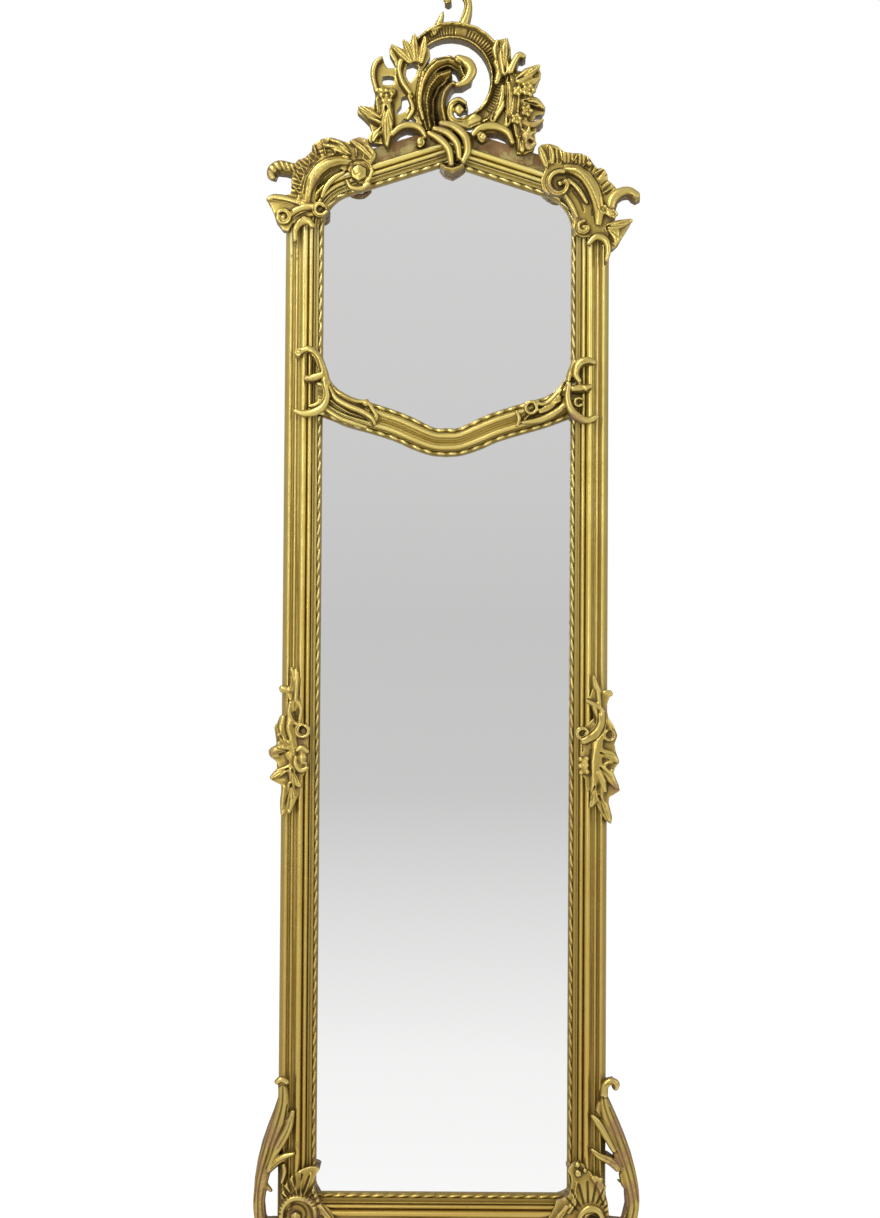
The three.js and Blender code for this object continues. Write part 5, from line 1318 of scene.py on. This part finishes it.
steel = Finish("dulled_steel")
rust = (steel.noise(140, 5) * 0.7 + steel.noise(900, 2) * 0.3).within(0.52, 0.66)
cloud = steel.noise(60, 4)
bare_steel = steel.mix(cloud.within(0.35, 0.7), (0.46, 0.44, 0.40, 1), (0.30, 0.28, 0.25, 1))
steel.set(
    Base_Color=steel.mix(rust * 0.8, bare_steel, (0.16, 0.07, 0.03, 1)),
    Metallic=1 - rust * 0.75,
    Roughness=0.34 + cloud * 0.2 + rust * 0.3,
)
steel.bump(rust * -0.6 + steel.noise(1500, 2) * 0.3, 0.0002, 0.5)
hinge_behind = 3.8
hinge_drop = 201.5
hinge_height = spring - hinge_drop
hanger_inset = 21
hanger_x = sight_half + moulding_width - hanger_inset
loop_outer = 3.43
loop_inner = 2.3
strap_half = 7.0
strap_end = 62.0
strap_corner = 4.0
strap_front = -0.3
strap_back = -1.5
head_height = 1.8
shank_radius = 1.6
thread_depth = 0.4
thread_pitch = 0.75
thread_start = 2
screw_sides = 28
slot_width = 0.9
slot_depth = 0.9


def bent_place(x, out):
    """The strap's lower corners are rounded: its end rises towards both edges."""
    past = max(abs(x) - (strap_half - strap_corner), 0)
    rise = strap_corner - math.sqrt(strap_corner**2 - past**2) if out < 1 - strap_end else 0
    return out + rise


def around_hinge(radius, start, end):
    turns = [math.radians(turn) for turn in evenly(start, end, 12)]
    return [(radius * math.sin(turn), -hinge_behind - radius * math.cos(turn)) for turn in turns]


strap_outline = [
    (-strap_end, strap_front),
    *around_hinge(loop_outer, 180, -110),
    *around_hinge(loop_inner, -110, 180),
    (-strap_end, strap_back),
]
across_strap = [-7, -6.8, -6.3, -5.6, -4.6, -3, 0, 3, 4.6, 5.6, 6.3, 6.8, 7]


def screw(node, x, z, seat, length, turn):
    """A turned pan-head screw with annular threads, whose head takes a driver's slot."""
    dome = [(0, -head_height), (1.6, -1.75), (2.8, -1.45), (3.4, -0.9), (3.58, -0.4), (3.5, -0.03)]
    profile = [*dome, (shank_radius, 0), (shank_radius, thread_start)]
    for step in range(1, int((length - 5) / thread_pitch)):
        profile.append((shank_radius - thread_depth * (step % 2), thread_start + thread_pitch * step))
    profile += [(1.1, length - 2.4), (0, length)]
    out, height = np.array(profile).T
    turns = 2 * math.pi * np.arange(screw_sides + 1)[:, None] / screw_sides
    points = np.empty((screw_sides + 1, len(profile), 3))
    points[:, :, 0] = x + out * np.cos(turns)
    points[:, :, 1] = -(seat + height)
    points[:, :, 2] = z - base_drop + out * np.sin(turns)
    piece = skinned(f"slotted_{node}", points, open_ends=False)
    place = (x * MM, (head_height - seat) * MM, (z - base_drop) * MM)
    bpy.ops.mesh.primitive_cube_add(size=1, location=place, rotation=(0, math.radians(turn), 0))
    blade = bpy.context.object
    blade.scale = (slot_width * MM, 2 * slot_depth * MM, 9 * MM)
    bpy.ops.object.select_all(action="DESELECT")
    piece.select_set(True)
    bpy.context.view_layer.objects.active = piece
    bpy.ops.object.modifier_add(type="BOOLEAN")
    piece.modifiers[-1].object = blade
    piece.modifiers[-1].operation = "DIFFERENCE"
    bpy.ops.object.modifier_apply(modifier=piece.modifiers[-1].name)
    bpy.ops.object.shade_smooth_by_angle(angle=math.radians(40))
    bpy.data.objects.remove(blade)
    finished(piece, steel.material, "steel", "frame", node)


strap_seat = -1.8
rod_radius = 2
rod_sides = 16
ring_half_width = 15
ring_drop = 25
ring_bar = 14.2
for label, side in (("left", -1), ("right", 1)):
    strap = laid(
        f"bent_strap_{label}",
        strap_outline,
        across_strap,
        lambda out, x, side=side: (side * hanger_x + x, hinge_height + bent_place(x, out)),
    )
    finished(strap, steel.material, "steel", "frame", f"strap_hanger_{label}")
    for index, (drop, turn) in enumerate(((35, 24 - 50 * side), (52, 63 + 20 * side))):
        screw(f"hanger_screw_{label}_{index + 1}", side * hanger_x, hinge_height - drop, strap_seat, 16, turn)
    # The ring's middle line: a straight bar over a half ellipse, with its two corners eased.
    turns = evenly(0, math.pi, 0.04)
    bow = [(ring_half_width * math.cos(turn), -ring_drop * math.sin(turn)) for turn in turns]
    bow = np.array([*bow, *[(x, 0) for x in evenly(-ring_bar, ring_bar, 0.8)]])
    for _ in range(12):
        bow = (np.roll(bow, 1, axis=0) + 2 * bow + np.roll(bow, -1, axis=0)) / 4
    lead = np.roll(bow, -1, axis=0) - np.roll(bow, 1, axis=0)
    lead /= np.linalg.norm(lead, axis=1)[:, None]
    bpy.ops.object.select_all(action="DESELECT")
    bpy.ops.mesh.primitive_torus_add(major_segments=len(bow), minor_segments=rod_sides)
    rod = bpy.context.object
    rod.name = f"rod_ring_{label}"
    turns = np.arange(rod_sides) * 2 * math.pi / rod_sides
    points = np.empty((len(bow), rod_sides, 3))
    points[:, :, 0] = side * hanger_x + bow[:, 0:1] + lead[:, 1:2] * rod_radius * np.cos(turns)
    points[:, :, 1] = hinge_behind + rod_radius * np.sin(turns)[None, :]
    points[:, :, 2] = hinge_height - base_drop + bow[:, 1:2] - lead[:, 0:1] * rod_radius * np.cos(turns)
    rod.data.vertices.foreach_set("co", points.reshape(-1) * MM)
    bpy.ops.object.mode_set(mode="EDIT")
    bpy.ops.mesh.select_all(action="SELECT")
    bpy.ops.mesh.normals_make_consistent(inside=False)
    bpy.ops.object.mode_set(mode="OBJECT")
    bpy.ops.object.shade_smooth()
    finished(rod, steel.material, "steel", f"ring_{label}", f"hanger_ring_{label}")

apex = spring + corner_radius * math.cos(rake) + rake_run * math.tan(rake)
batten_x = -27
batten_seat = 2.1
for index, height in enumerate((18, 40, 92, 124)):
    screw(f"strut_screw_{index + 1}", batten_x, apex + height, batten_seat, 24, 17 + 61 * index)
